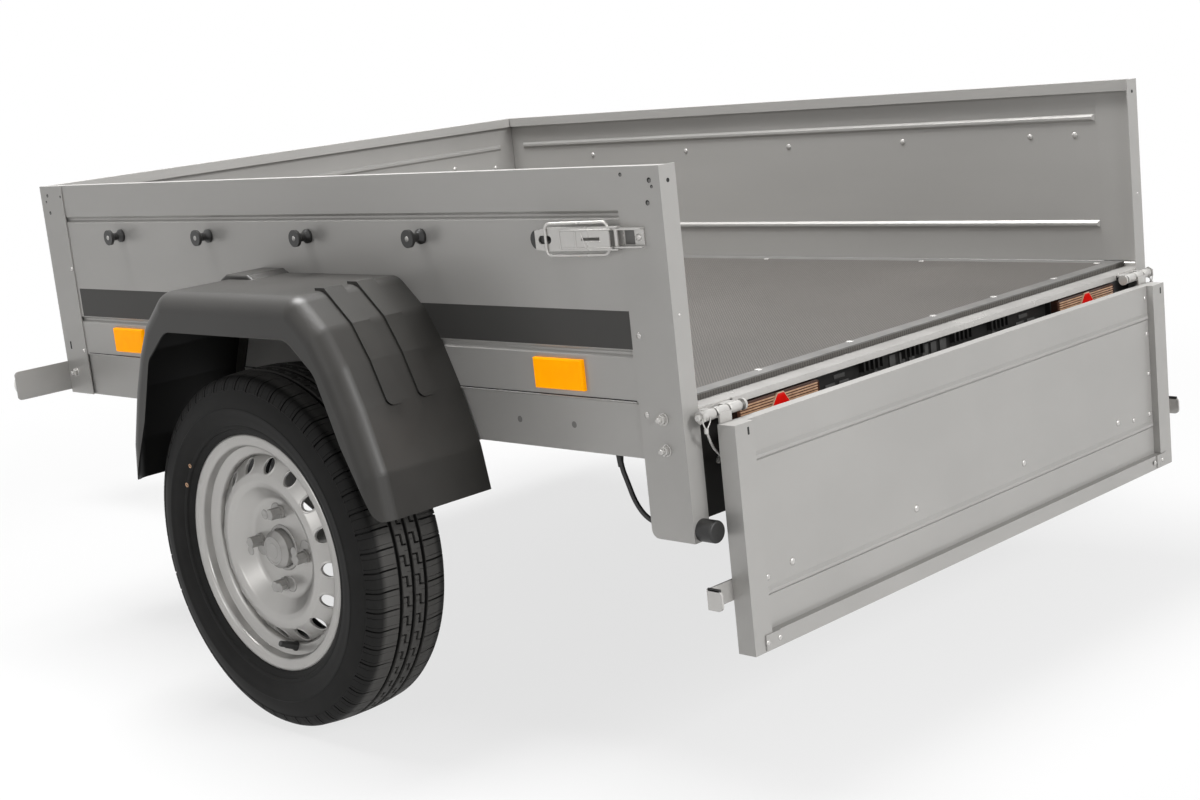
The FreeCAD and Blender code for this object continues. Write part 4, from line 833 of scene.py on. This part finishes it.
# Rims: points are radius, y from the wheel's middle plane, and corner radius
RIM_STEPS = 160
BARREL_LINE = (
    (0.1805, -0.0600, 0),
    (0.1805, -0.0620, 0.0012),
    (0.1668, -0.0600, 0.004),
    (0.1651, -0.0110, 0.006),
    (0.1491, -0.0050, 0.004),
    (0.1491, 0.0370, 0.004),
    (0.1651, 0.0430, 0.004),
    (0.1668, 0.0580, 0.004),
    (0.1800, 0.0600, 0.003),
    (0.1815, 0.0545, 0),
)
BARREL_T = 0.003
BARREL_BEND_STEPS = 5
DISC_LINE = (
    (0.0295, 0.0260, 0),
    (0.0760, 0.0260, 0.014),
    (0.0990, 0.0475, 0.014),
    (0.1090, 0.0520, 0.010),
    (0.1200, 0.0500, 0.010),
    (0.1468, 0.0300, 0.008),
    (0.1468, 0.0190, 0),
)
DISC_T = -0.0034
DISC_BEND_STEPS = 6

VENT_COUNT = 16
VENT_PHASE = math.radians(16.5)
VENT_CIRCLE = 0.1325
VENT_R = 0.0112
VENT_CUT_FROM = 0.02
VENT_CUT_DEEP = 0.05
VENT_STEPS = 32
# Section of the raised rim of a vent: distance out from its edge, rise from the disc
VENT_LIP = ((-0.0007, -0.0030), (-0.0005, 0.0004), (0.0006, 0.0010), (0.0022, 0.0005), (0.0032, -0.0004))


def height_on(line, r):
    """The disc's outer face at a radius."""
    for (r0, y0), (r1, y1) in zip(line, line[1:]):
        if r0 <= r <= r1 and r1 > r0:
            return y0 + (y1 - y0) * (r - r0) / (r1 - r0)
    return line[-1][1]


def vent_angles():
    return [VENT_PHASE + 2 * math.pi * i / VENT_COUNT for i in range(VENT_COUNT)]


def vent_lip(centre, sign, a, surface):
    """A raised rim that follows the disc round one vent."""
    out = around(a, 1, 0)
    along = Vector((out.z, 0, -out.x))
    verts = []
    for i in range(VENT_STEPS):
        t = 2 * math.pi * i / VENT_STEPS
        for dr, dy in VENT_LIP:
            r = VENT_R + dr
            at = out * (VENT_CIRCLE + r * math.cos(t)) + along * (r * math.sin(t))
            rise = height_on(surface, at.length) + dy
            verts.append(centre + at + Vector((0, sign * rise, 0)))
    return verts, grid_faces(VENT_STEPS, len(VENT_LIP), True, True)


def make_rim(side, sign):
    centre = wheel_centre(sign)
    normal = (0, sign, 0)
    body = "wheel_" + side
    surface = arc_line(DISC_LINE, DISC_BEND_STEPS)
    disc = spun(thick(surface, DISC_T), centre, normal, RIM_STEPS, True)
    drill = [(VENT_R, 0), (VENT_R, VENT_CUT_DEEP)]
    tools, lips = [], []
    for a in vent_angles():
        tools.append(spun(drill, centre + around(a, VENT_CIRCLE, sign * VENT_CUT_FROM), normal, VENT_STEPS))
        lips.append(vent_lip(centre, sign, a, surface))
    mesh = cut_holes(*disc, joined(tools))
    finish_piece("rim_disc_" + side, mesh, body, "paint", 28, ("rim_" + side,))
    barrel = spun(thick(arc_line(BARREL_LINE, BARREL_BEND_STEPS), BARREL_T), centre, normal, RIM_STEPS, True)
    piece("rim_barrel_" + side, *barrel, body, "silver_paint", "paint", 35)
    piece("vent_lips_" + side, *joined(lips), body, "silver_paint", "paint", 35)


# Hub, bolts and valve: profiles are radius and height from their seat
HUB_SEAT_Y = 0.026
HUB_COLLAR = (
    (0.0360, -0.0004), (0.0356, 0.0012), (0.0338, 0.0022),
    (0.0310, 0.0022), (0.0301, 0.0014), (0.0301, -0.0004),
)
CAP_CREST = ((0.0222, 0.0198), (0.0220, 0.0206), (0.0206, 0.0211), (0.0190, 0.0207), (0.0184, 0.0198))
CAP_MIDDLE = ((0.0120, 0.0198), (0.0116, 0.0204), (0.004, 0.0206))
BOLT_COUNT = 4
BOLT_CIRCLE = 0.057
BOLT_PHASE = math.radians(-6)
BOLT_REACH = 0.022
BOLT_FACE = ((0.0076, -0.0006), (0.0073, 0.0003), (0.0050, 0.0007), (0.0030, 0.0002))
BOLT_FOOT = ((0.0128, -0.0004), (0.0126, 0.0010), (0.0112, 0.0020), (0.0100, 0.0020))
VALVE_ANGLE = math.radians(186.5)
VALVE_CIRCLE = 0.1500
VALVE_Y = 0.040
VALVE_LEAN = 0.45
VALVE_STEM = (
    (0.0078, 0), (0.0078, 0.002), (0.0058, 0.006), (0.0056, 0.019),
    (0.0046, 0.0205), (0.0046, 0.029), (0.004, 0.030),
)


def make_hub_trim(side, sign):
    normal = (0, sign, 0)
    seat = wheel_centre(sign) + Vector((0, sign * HUB_SEAT_Y, 0))
    parts = [spun(HUB_COLLAR, seat, normal, 64, True), spun(CAP_CREST, seat, normal, 64, True)]
    parts.append(spun(CAP_MIDDLE, seat, normal, 48))
    for i in range(BOLT_COUNT):
        a = BOLT_PHASE + 2 * math.pi * i / BOLT_COUNT
        foot = seat + Vector((BOLT_CIRCLE * math.cos(a), 0, BOLT_CIRCLE * math.sin(a)))
        parts.append(spun(BOLT_FACE, foot + Vector((0, sign * BOLT_REACH, 0)), normal, 24))
        parts.append(spun(BOLT_FOOT, foot, normal, 32))
    piece("hub_trim_" + side, *joined(parts), "wheel_" + side, "bright_zinc", "hub", 40)


def make_valve(side, sign):
    foot = wheel_centre(sign) + around(VALVE_ANGLE, VALVE_CIRCLE, sign * VALVE_Y)
    out = around(VALVE_ANGLE, -VALVE_LEAN, sign)
    piece("valve_" + side, *spun(VALVE_STEM, foot, out, 20), "wheel_" + side, "rubber", "rubber", 40)


for SIDE, SIGN in (("left", 1), ("right", -1)):
    make_tyre(SIDE, SIGN)
    make_rim(SIDE, SIGN)
    make_hub_trim(SIDE, SIGN)
    make_valve(SIDE, SIGN)
make_tyre_marks()


# Heads of rivets and screws: radius and height
RIVET = (0.0042, 0.0017)
FLANGE_RIVET = (0.0026, 0.0010)
GATE_RIVET = (0.0044, 0.0018)
SMALL_RIVET = (0.0040, 0.0016)
INNER_SCREW = (0.0052, 0.0022)
KNOB_SCREW = (0.0040, 0.0012)
FLOOR_SCREW = (0.0058, 0.0012)
GATE_SCREW = (0.0055, 0.0024)

# Nut, washer and bolt's end: radius and height from the washer's foot
WASHER = ((0.0085, 0), (0.0085, 0.0012), (0.0080, 0.0016))
NUT = ((0.0064, 0.0016), (0.0068, 0.0022), (0.0068, 0.0066), (0.0060, 0.0072))
STUD = ((0.0038, 0.0070), (0.0038, 0.0115), (0.0030, 0.0124))
HOLE_ROOT = -0.0002
HOLE_RISE = 0.00015


def hole(at, normal, r):
    """A round hole, shown as a thin disc whose colour is painted shade or painted light."""
    return spun([(r, HOLE_ROOT), (r, HOLE_RISE)], at, normal, 24)


def bar(low, high, bevel):
    """A small block between two places in box millimetres."""
    a, b = place(*low), place(*high)
    return plate_block([min(a[i], b[i]) for i in range(3)], [max(a[i], b[i]) for i in range(3)], bevel)


def nut(at, normal):
    """A hexagon nut on a washer, with the bolt's end showing."""
    return joined([spun(WASHER, at, normal, 28), spun(NUT, at, normal, 6), spun(STUD, at, normal, 18)])


# Marks on the outside of each side wall and its posts: x and z in box millimetres
SIDE_BOLTS = ((34, 57), (34, 16), (1512, 39))
SIDE_RIVETS = ((63, 164), (1474.5, 80), (1471, 230), (63, 60))
# The third value is the hole's radius
SIDE_HOLES = (
    (18, 362, 3.4), (14.5, 354, 2.2), (24, 334, 3.4), (67, 370, 2.6),
    (1516, 363, 3.2), (1471, 360.5, 2.4), (1515, 332, 3.2), (1523, 352, 2.2),
)
# Painted light: a lit floor inside each hole, set off its middle so that a crescent of the hole's painted
# shade shows, as shares of its radius
FLOOR_R_SHARE = 0.68
FLOOR_X_SHARE = -0.3
FLOOR_Z_SHARE = -0.25
FLOOR_RISE = 0.12
POST_HOLE = (0, 565, 360)
POST_HOLE_R = 0.0028
SKIRT_HOLES = ((314, 575, 36), (206, 575, 36))
SKIRT_HOLE_R = 0.0046
POST_SLOT = ((1515.5, 579.8, 82), (1520, 580.15, 96))
POST_SLOT_ROUND = 0.00005
CREASE_X = (80, 1458)
CREASE_SHADOW_Z = (76.2, 77.6)
CREASE_SHADOW_DEEP = 0.6
CREASE_ROUND = 0.0001
CREASE_LEDGE_Z = 75.2
CREASE_LEDGE_IN = 0.1
CREASE_LEDGE_R = 0.0012
FLANGE_RIVET_AT = (0, 567.6, 190.8)


def make_side_marks():
    y = POST_FACE_Y
    parts = [nut(place(x, y, z), OUT_LEFT) for x, z in SIDE_BOLTS]
    parts += [dome(place(x, y, z), OUT_LEFT, *RIVET) for x, z in SIDE_RIVETS]
    both_sides("side_bolts", parts, smooth_angle=35)
    # Painted shade: near-black discs and a bar stand for the shade in the wall's holes and the post's slot
    parts = [hole(place(x, y, z), OUT_LEFT, r * MM) for x, z, r in SIDE_HOLES]
    parts.append(hole(place(*POST_HOLE), BACK, POST_HOLE_R))
    parts.append(bar(*POST_SLOT, POST_SLOT_ROUND))
    both_sides("side_holes", parts, "chassis", "black_plastic", "dark", 30)
    # Painted light: lit floors inside the wall's holes; the skirt's holes are grey discs of painted shade
    parts = []
    for x, z, r in SIDE_HOLES:
        at = place(x + r * FLOOR_X_SHARE, y + FLOOR_RISE, z + r * FLOOR_Z_SHARE)
        parts.append(hole(at, OUT_LEFT, r * FLOOR_R_SHARE * MM))
    parts += [hole(place(*at), OUT_LEFT, SKIRT_HOLE_R) for at in SKIRT_HOLES]
    both_sides("painted_hole_floors", parts, "chassis", "zinc_sheet", "hole_light_and_shade", 30)


def make_creases():
    """A near-black strip as painted shadow under the fold of the side panel, the fold's lit ledge, and the
    rear flange's rivet.
    """
    x0, x1 = CREASE_X
    z0, z1 = CREASE_SHADOW_Z
    # Painted shadow: a near-black strip 0.6 mm proud of the panel, where the fold's overhang casts its
    # shadow
    painted_shade = bar((x0, PANEL_FACE_Y, z0), (x1, PANEL_FACE_Y + CREASE_SHADOW_DEEP, z1), CREASE_ROUND)
    both_sides("crease_shadows", [painted_shade], "chassis", "black_plastic", "dark", 30)
    y = PANEL_FACE_Y - CREASE_LEDGE_IN
    ledge = tube_along([place(x0, y, CREASE_LEDGE_Z), place(x1, y, CREASE_LEDGE_Z)], CREASE_LEDGE_R, 12)
    both_sides("crease_ledges", [ledge], "chassis", "zinc_sheet", "sheet", 40)
    rivet = dome(place(*FLANGE_RIVET_AT), BACK, *FLANGE_RIVET)
    both_sides("flange_rivets", [rivet])


# Screws of the cover knobs, in box millimetres
KNOB_X = (205.6, 475.6, 745.6, 1015.6, 1285.6)
LATCH_SCREW_X = 118.0
INNER_SCREW_Z = 291
FRONT_SCREWS = ((-401, 289), (-519, 277), (0, 289), (401, 289), (519, 277))
KNOB_SCREW_SUNK = 0.0002


def make_inner_screws():
    """The ends of the knobs' screws inside the load space."""
    inside = [place(x, PANEL_IN_Y, INNER_SCREW_Z) for x in (*KNOB_X, LATCH_SCREW_X)]
    parts = [dome(at, -OUT_LEFT, *INNER_SCREW) for at in inside]
    both_sides("inner_screws", parts)
    parts = [dome(place(FRONT_IN_X, y, z), BACK, *INNER_SCREW) for y, z in FRONT_SCREWS]
    piece("front_wall_screws", *joined(parts), "chassis", "bright_zinc", "zinc", 40)


def make_knob_screws():
    low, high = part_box("knobs_left")
    parts = []
    for x in KNOB_X:
        at = at_height(x, 0, (low.z + high.z) / 2)
        at.y = high.y - KNOB_SCREW_SUNK
        parts.append(dome(at, OUT_LEFT, *KNOB_SCREW))
    both_sides("knob_screws", parts, mat="steel")


# Screws that hold the floor: x and y in box millimetres
REAR_FLOOR_SCREWS = (
    (58.9, 156.3), (60.3, -216.3), (58.9, -50.0), (70.0, -545.0),
    (70.0, 545.0), (58.9, 360.0), (58.9, -390.0),
)
SIDE_FLOOR_SCREWS_X = (430.0, 800.0, 1170.0, 1500.0)
SIDE_FLOOR_SCREWS_Y = 545.0


def make_floor_screws():
    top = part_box("floor_trims")[1].z
    places = list(REAR_FLOOR_SCREWS)
    for y in (SIDE_FLOOR_SCREWS_Y, -SIDE_FLOOR_SCREWS_Y):
        places += [(x, y) for x in SIDE_FLOOR_SCREWS_X]
    parts = [dome(at_height(x, y, top), UP, *FLOOR_SCREW, 20) for x, y in places]
    piece("floor_screws", *joined(parts), "chassis", "bright_zinc", "zinc", 40)


# Marks on the tailgate as it hangs: y and z in box millimetres
GATE_PANEL_IN = 0.011
GATE_SCREWS = ((441.8, -160.5), (162.8, -160.5), (-116.2, -160.5), (-395.2, -160.5))
GATE_RIVETS = ((493.4, -167.6), (-496.9, -167.9), (-445.5, -167.3))
GATE_EDGE_RIVETS = (
    (500.0, 26.6), (500.0, -33.3), (500.0, -100.0), (-500.0, 26.6), (-500.0, -33.3), (-500.0, -100.0)
)
GATE_TAB_RIVETS = ((519.0, -247.5), (495.0, -247.5), (-508.7, -247.5), (-484.0, -247.5))
GATE_SLOTS_Y = (517.8, -531.5)
GATE_SLOT_HALF = 1.7
GATE_SLOT_X = (-52.7, -52.35)
GATE_SLOT_Z = (29.5, 39.5)
GATE_SLOT_ROUND = 0.00008


def make_gate_marks():
    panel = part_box("gate_panel")[0].x + GATE_PANEL_IN
    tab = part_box("gate_stile_left")[0].x
    heads = (
        (panel, GATE_SCREWS, GATE_SCREW),
        (panel, GATE_RIVETS, GATE_RIVET),
        (panel, GATE_EDGE_RIVETS, SMALL_RIVET),
        (tab, GATE_TAB_RIVETS, SMALL_RIVET),
    )
    parts = []
    for face_x, places, size in heads:
        for y, z in places:
            at = place(0, y, z)
            at.x = face_x
            parts.append(dome(at, BACK, *size))
    piece("gate_rivets", *joined(parts), "tailgate", "bright_zinc", "zinc", 40)
    # Painted shade: near-black bars stand for the shade inside the stiles' slots
    slots = []
    for y in GATE_SLOTS_Y:
        low = (GATE_SLOT_X[0], y - GATE_SLOT_HALF, GATE_SLOT_Z[0])
        high = (GATE_SLOT_X[1], y + GATE_SLOT_HALF, GATE_SLOT_Z[1])
        slots.append(bar(low, high, GATE_SLOT_ROUND))
    piece("gate_slots", *joined(slots), "tailgate", "black_plastic", "dark")


make_side_marks()
make_creases()
make_inner_screws()
make_knob_screws()
make_floor_screws()
make_gate_marks()


# Tailgate hinges: sleeves round the knuckles, the pin's ends and the lanyard
HINGE_X = -14.5
HINGE_Z = 59.0
SLEEVE = (
    (0.0060, 0), (0.0071, 0.0006), (0.0074, 0.0018),
    (0.0074, 0.0212), (0.0071, 0.0224), (0.0060, 0.023),
)
FIXED_SLEEVES_Y = (539, 489)
MIDDLE_SLEEVE_Y = 514
PIN_HEAD_Y = 562.5
PIN_HEAD = ((0.0095, 0), (0.0095, 0.0022), (0.0085, 0.003))
PIN_END_Y = 565.5
PIN_END = ((0.0050, 0), (0.0050, 0.0036), (0.0036, 0.0048))
LANYARD_JOINT = (-20.5, 561.0, 41.0)
LANYARD_LOOPS = (((-20.5, 566.3, 58), (-20.5, 566.0, 52)), ((-22.2, 553.5, 58), (-22.0, 554.0, 52)))
LANYARD_TAIL = ((-15.0, 549.5, 24.0), (-11.0, 540.0, 13.0), (-4.0, 523.0, 0.0))
LANYARD_END = (13.0, 508.0, -12.0)
LOOP_R = 0.0010
LOOP_BEND = 0.006
TAIL_R = 0.0017
TAIL_BEND = 0.010
LANYARD_CRIMP = ((0.0030, -0.003), (0.0030, 0.003), (0.002, 0.004))
LANYARD_RIVET = ((0.0044, 0), (0.0044, 0.0016), (0.0028, 0.0028))


def make_hinge_hardware():
    fixed = [spun(SLEEVE, place(HINGE_X, y, HINGE_Z), OUT_LEFT, 32) for y in FIXED_SLEEVES_Y]
    fixed.append(spun(PIN_HEAD, place(HINGE_X, PIN_HEAD_Y, HINGE_Z), OUT_LEFT, 6))
    fixed.append(spun(PIN_END, place(HINGE_X, PIN_END_Y, HINGE_Z), OUT_LEFT, 24))
    both_sides("hinge_sleeves", fixed)
    middle = spun(SLEEVE, place(HINGE_X, MIDDLE_SLEEVE_Y, HINGE_Z), OUT_LEFT, 32)
    both_sides("hinge_middles", [middle], "tailgate")


def make_lanyards():
    wires = []
    for loop in LANYARD_LOOPS:
        route = [place(*p) for p in (*loop, LANYARD_JOINT)]
        wires.append(tube_along(bent(route, LOOP_BEND, 5), LOOP_R, 10))
    route = [place(*p) for p in (LANYARD_JOINT, *LANYARD_TAIL, LANYARD_END)]
    wires.append(tube_along(bent(route, TAIL_BEND, 7), TAIL_R, 12))
    wires.append(spun(LANYARD_CRIMP, place(*LANYARD_JOINT), UP, 16))
    wires.append(spun(LANYARD_RIVET, place(*LANYARD_END), BACK, 20))
    both_sides("hinge_lanyards", wires)


make_hinge_hardware()
make_lanyards()


# Pads of the light board, in box millimetres: y and z ranges of those on both sides of the
# middle, and y ranges of the tall ones
PAD_X = (20.6, 22.4)
PAD_ROUND = 0.0006
PADS = (
    (213.4, 235.6, 8, 36), (244.8, 266.7, 8, 36), (222, 246.4, 40.5, 46.5),
    (165, 186, 43, 49), (143, 161, 43.5, 48.5), (147.7, 154.2, 27, 35),
)
TALL_PAD_X = (19.8, 22.4)
TALL_PAD_Z = (4, 49)
TALL_PAD_ROUND = 0.0008
TALL_PADS = ((103.5, 117.5), (81, 93.4), (57, 70), (22, 36.5), (1.3, 15.2), (-24.3, -7.9))


def make_board_pads():
    """The raised pads of the light board, between the lamps."""
    parts = []
    for y0, y1, z0, z1 in PADS:
        parts.append(bar((PAD_X[0], y0, z0), (PAD_X[1], y1, z1), PAD_ROUND))
        parts.append(bar((PAD_X[0], -y1, z0), (PAD_X[1], -y0, z1), PAD_ROUND))
    (x0, x1), (z0, z1) = TALL_PAD_X, TALL_PAD_Z
    parts += [bar((x0, y0, z0), (x1, y1, z1), TALL_PAD_ROUND) for y0, y1 in TALL_PADS]
    piece("board_pads", *joined(parts), "chassis", "black_plastic", "pad", 40)


# Rear lamps: ribs on the lens and a reflecting triangle in a pale border, in metres
LENS_Y = (0.304, 0.476)
LENS_FACE_IN = 0.002
RIB_PITCH = 0.0036
RIB_TOP = 0.0045
RIB_BOTTOM = 0.004
RIB_SIDE = 0.005
RIB_HALF = 0.0011
RIB_PROUD = 0.0016
RIB_SUNK = 0.0004
RIB_ROUND = 0.0006
TRIANGLE_Y = 0.389
TRIANGLE_CORNER_SHARE = 0.15
# Rise above the lens's top edge, half width, height, and depths before and behind the lens's face
BORDER = (0.0081, 0.0440, 0.0560, 0.0004, 0.0018)
TRIANGLE = (0.0063, 0.0412, 0.0530, 0.0010, 0.0010)


def make_lens_ribs(low, high, sign):
    face = low.x + LENS_FACE_IN
    y0, y1 = sorted((sign * LENS_Y[0], sign * LENS_Y[1]))
    ribs = []
    z = high.z - RIB_TOP
    while z > low.z + RIB_BOTTOM:
        near = (face - RIB_PROUD, y0 + RIB_SIDE, z - RIB_HALF)
        far = (face + RIB_SUNK, y1 - RIB_SIDE, z + RIB_HALF)
        ribs.append(plate_block(near, far, RIB_ROUND))
        z -= RIB_PITCH
    return ribs


def triangle_plate(low, high, sign, size):
    """A plate in the shape of an upright triangle with cut corners, on the lens."""
    rise, half, height, before, behind = size
    y, z = sign * TRIANGLE_Y, high.z + rise
    corners = [Vector((y - half, z - height)), Vector((y + half, z - height)), Vector((y, z))]
    line = []
    for i, corner in enumerate(corners):
        for other in (corners[i - 1], corners[(i + 1) % 3]):
            line.append(corner + (other - corner) * TRIANGLE_CORNER_SHARE)
    verts = [Vector((x, p.x, p.y)) for x in (low.x - before, low.x + behind) for p in line]
    n = len(line)
    faces = [list(range(n)), [n + k for k in range(n)][::-1]]
    faces += [[k, (k + 1) % n, n + (k + 1) % n, n + k] for k in range(n)]
    return verts, faces


def make_lamps():
    low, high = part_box("lamp_lenses")
    ribs, marks, borders = [], [], []
    for sign in (1, -1):
        ribs += make_lens_ribs(low, high, sign)
        borders.append(triangle_plate(low, high, sign, BORDER))
        marks.append(triangle_plate(low, high, sign, TRIANGLE))
    # The ribs' light tan is a painted highlight
    piece("lens_ribs", *joined(ribs), "chassis", "red_lens", "tan", 40)
    piece("triangle_borders", *joined(borders), "chassis", "red_lens", "cream")
    piece("triangles", *joined(marks), "chassis", "red_lens", "red")


make_board_pads()
make_lamps()


# Toggle latches: places along the tilted lever, and out from it, in millimetres
LEVER_ROOT = (77, 588)
LEVER_TILT = math.atan2(12.3, 115.6)
LEVER_OUT = 7
LATCH_RIVET_AT = (43.7, 582)
LATCH_RIVET = (0.0046, 0.0022)
# Each rod: along and rise of its two ends, then radius and number of sides
LEVER_RODS = (
    ((62, -12.5), (62, 12.5), 0.0012, 10),
    ((88, -12.5), (88, 12.5), 0.0012, 10),
    ((3, -11.6), (86, -11.6), 0.0012, 12),
    ((3, 11.6), (86, 11.6), 0.0012, 12),
    ((47, -9), (53, 9), 0.0008, 10),
    ((22, -3.4), (38, -3.4), 0.0009, 10),
)
LATCH_SHADE_X = (50.5, 66.5)
LATCH_SHADE_Y = (581.6, 582.6)
LATCH_SHADE_HALF = 0.0090
LATCH_SHADE_ROUND = 0.0003


def on_lever(along, z):
    """A place on the lever's outer face at height z."""
    x = LEVER_ROOT[0] + along * math.cos(LEVER_TILT) - LEVER_OUT * math.sin(LEVER_TILT)
    y = LEVER_ROOT[1] + along * math.sin(LEVER_TILT) + LEVER_OUT * math.cos(LEVER_TILT)
    return at_height(x, y, z)


def make_latch_details():
    low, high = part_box("latch_left")
    z = (low.z + high.z) / 2
    parts = [dome(at_height(*LATCH_RIVET_AT, z), OUT_LEFT, *LATCH_RIVET, 20)]
    for first, last, r, sides in LEVER_RODS:
        ends = [on_lever(along, z + rise * MM) for along, rise in (first, last)]
        parts.append(tube_along(ends, r, sides))
    both_sides("latch_details", parts)
    # Painted shade: a dark plate on the bracket's base stands for the shade in its recess
    near = at_height(LATCH_SHADE_X[0], LATCH_SHADE_Y[0], z - LATCH_SHADE_HALF)
    far = at_height(LATCH_SHADE_X[1], LATCH_SHADE_Y[1], z + LATCH_SHADE_HALF)
    shade = plate_block(near, far, LATCH_SHADE_ROUND)
    both_sides("latch_shades", [shade], "chassis", "black_plastic", "trim", 40)


# Rubber edge of the tailgate's hooks, in metres
HOOK_EDGE_Y = (0.5858, 0.5895)
HOOK_EDGE_IN = 0.003
HOOK_EDGE_BACK = 0.001
HOOK_EDGE_DOWN = 0.003
HOOK_EDGE_UP = 0.0016
HOOK_EDGE_ROUND = 0.001


def make_hook_edges():
    low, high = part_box("gate_hooks")
    near = (low.x + HOOK_EDGE_IN, HOOK_EDGE_Y[0], high.z - HOOK_EDGE_DOWN)
    far = (high.x - HOOK_EDGE_BACK, HOOK_EDGE_Y[1], high.z + HOOK_EDGE_UP)
    both_sides("hook_edges", [plate_block(near, far, HOOK_EDGE_ROUND)], "tailgate", "rubber", "rubber", 40)


# Tapered sleeve of the cable: radius and distance along it
CABLE_SLEEVE = (
    (0.0062, 0), (0.0062, 0.004), (0.0052, 0.006), (0.0050, 0.010),
    (0.0043, 0.018), (0.0037, 0.024), (0.0035, 0.025),
)


def make_cable_ends():
    """Tapered sleeves where the lamp cable leaves the long member and enters the lamp carrier."""
    first, second = place(*CABLE_POINTS[0]), place(*CABLE_POINTS[1])
    last, before = place(*CABLE_POINTS[-1]), place(*CABLE_POINTS[-2])
    parts = [spun(CABLE_SLEEVE, first, second - first, 24), spun(CABLE_SLEEVE, last, before - last, 24)]
    piece("cable_sleeves", *joined(parts), "chassis", "black_rubber_cable", "rubber", 40)


make_latch_details()
make_hook_edges()
make_cable_ends()


# Stage: a pale floor that keeps the shadow and fades to white away from the trailer, in metres
GROUND_RADII = (0.001, 2.0, 6.0, 30.0)
GROUND_COLOUR = (0.5, 0.5, 0.5, 1)
GROUND_ROUGH = 0.9
FADE_FROM = 0.9
FADE_TO = 2.8
WHITE_SHARE = 0.74
WHITE = (1, 1, 1, 1)
AMBIENT = 0.16


def pale_rays(nodes, link):
    """A socket that is 1 for the rays that see the pale background."""
    ray = added(nodes, link, "LightPath").outputs
    seen = math_node(nodes, link, "MAXIMUM", ray["Is Camera Ray"], ray["Is Glossy Ray"])
    return math_node(nodes, link, "MAXIMUM", seen, ray["Is Transmission Ray"])


def mixed(nodes, link, factor, first, second, output):
    """Sends the first shader to the output, and the second where the factor is 1."""
    mix = added(nodes, link, "MixShader", Fac=factor)
    link.new(first.outputs[0], mix.inputs[1])
    link.new(second.outputs[0], mix.inputs[2])
    feed(link, nodes[output], Surface=mix.outputs[0])


def make_stage():
    mesh = bpy.data.meshes.new("ground")
    verts, faces = spun([(r, 0) for r in GROUND_RADII], (0, 0, 0), UP, 64)
    mesh.from_pydata([tuple(v) for v in verts], [], faces[:-2])
    ground = bpy.data.objects.new("ground", mesh)
    bpy.context.scene.collection.objects.link(ground)
    mat = bpy.data.materials.new("studio_floor")
    mat.use_nodes = True
    nodes, link, bsdf = links(mat)
    feed(link, bsdf, Base_Color=GROUND_COLOUR, Roughness=GROUND_ROUGH)
    length = nodes.new("ShaderNodeVectorMath")
    length.operation = "LENGTH"
    link.new(added(nodes, link, "TexCoord").outputs["Object"], length.inputs[0])
    fade = added(
        nodes, link, "MapRange",
        Value=length.outputs["Value"], From_Min=FADE_FROM, From_Max=FADE_TO, To_Min=WHITE_SHARE,
    )
    fade.interpolation_type = "SMOOTHSTEP"
    factor = math_node(nodes, link, "MULTIPLY", pale_rays(nodes, link), fade.outputs["Result"])
    mixed(nodes, link, factor, bsdf, nodes.new("ShaderNodeEmission"), "Material Output")
    mesh.materials.append(mat)


def make_world():
    world = bpy.data.worlds.new("studio")
    bpy.context.scene.world = world
    world.use_nodes = True
    nodes, link = world.node_tree.nodes, world.node_tree.links
    ambient = feed(link, nodes["Background"], Color=WHITE, Strength=AMBIENT)
    seen = added(nodes, link, "Background", Color=WHITE)
    mixed(nodes, link, pale_rays(nodes, link), ambient, seen, "World Output")


# Lamps: name, place, target, size in metres and power in watts
LIGHTS = (
    ("key", (-16.0, -2.0, 8.6), (0.0, 0.0, 0.5), 5.0, 2000),
    ("top", (0.3, 0.25, 4.3), (-0.1, 0.1, 0.4), 2.0, 320),
    ("left", (-0.9, 6.5, 2.6), (-0.5, 0.6, 0.4), 2.4, 45),
    ("side", (-8.2, 3.9, 2.4), (-0.6, 0.5, 0.5), 1.6, 90),
    ("bed", (-0.5, 0.3, 2.4), (0.35, -0.25, 0.55), 0.8, 14),
)


def area_light(name, at, target, size, power):
    data = bpy.data.lights.new(name, "AREA")
    data.shape = "SQUARE"
    data.size = size
    data.energy = power
    lamp = bpy.data.objects.new(name, data)
    bpy.context.scene.collection.objects.link(lamp)
    lamp.location = at
    lamp.rotation_euler = (Vector(target) - Vector(at)).to_track_quat("-Z", "Y").to_euler()


make_stage()
make_world()
for LIGHT in LIGHTS:
    area_light(*LIGHT)
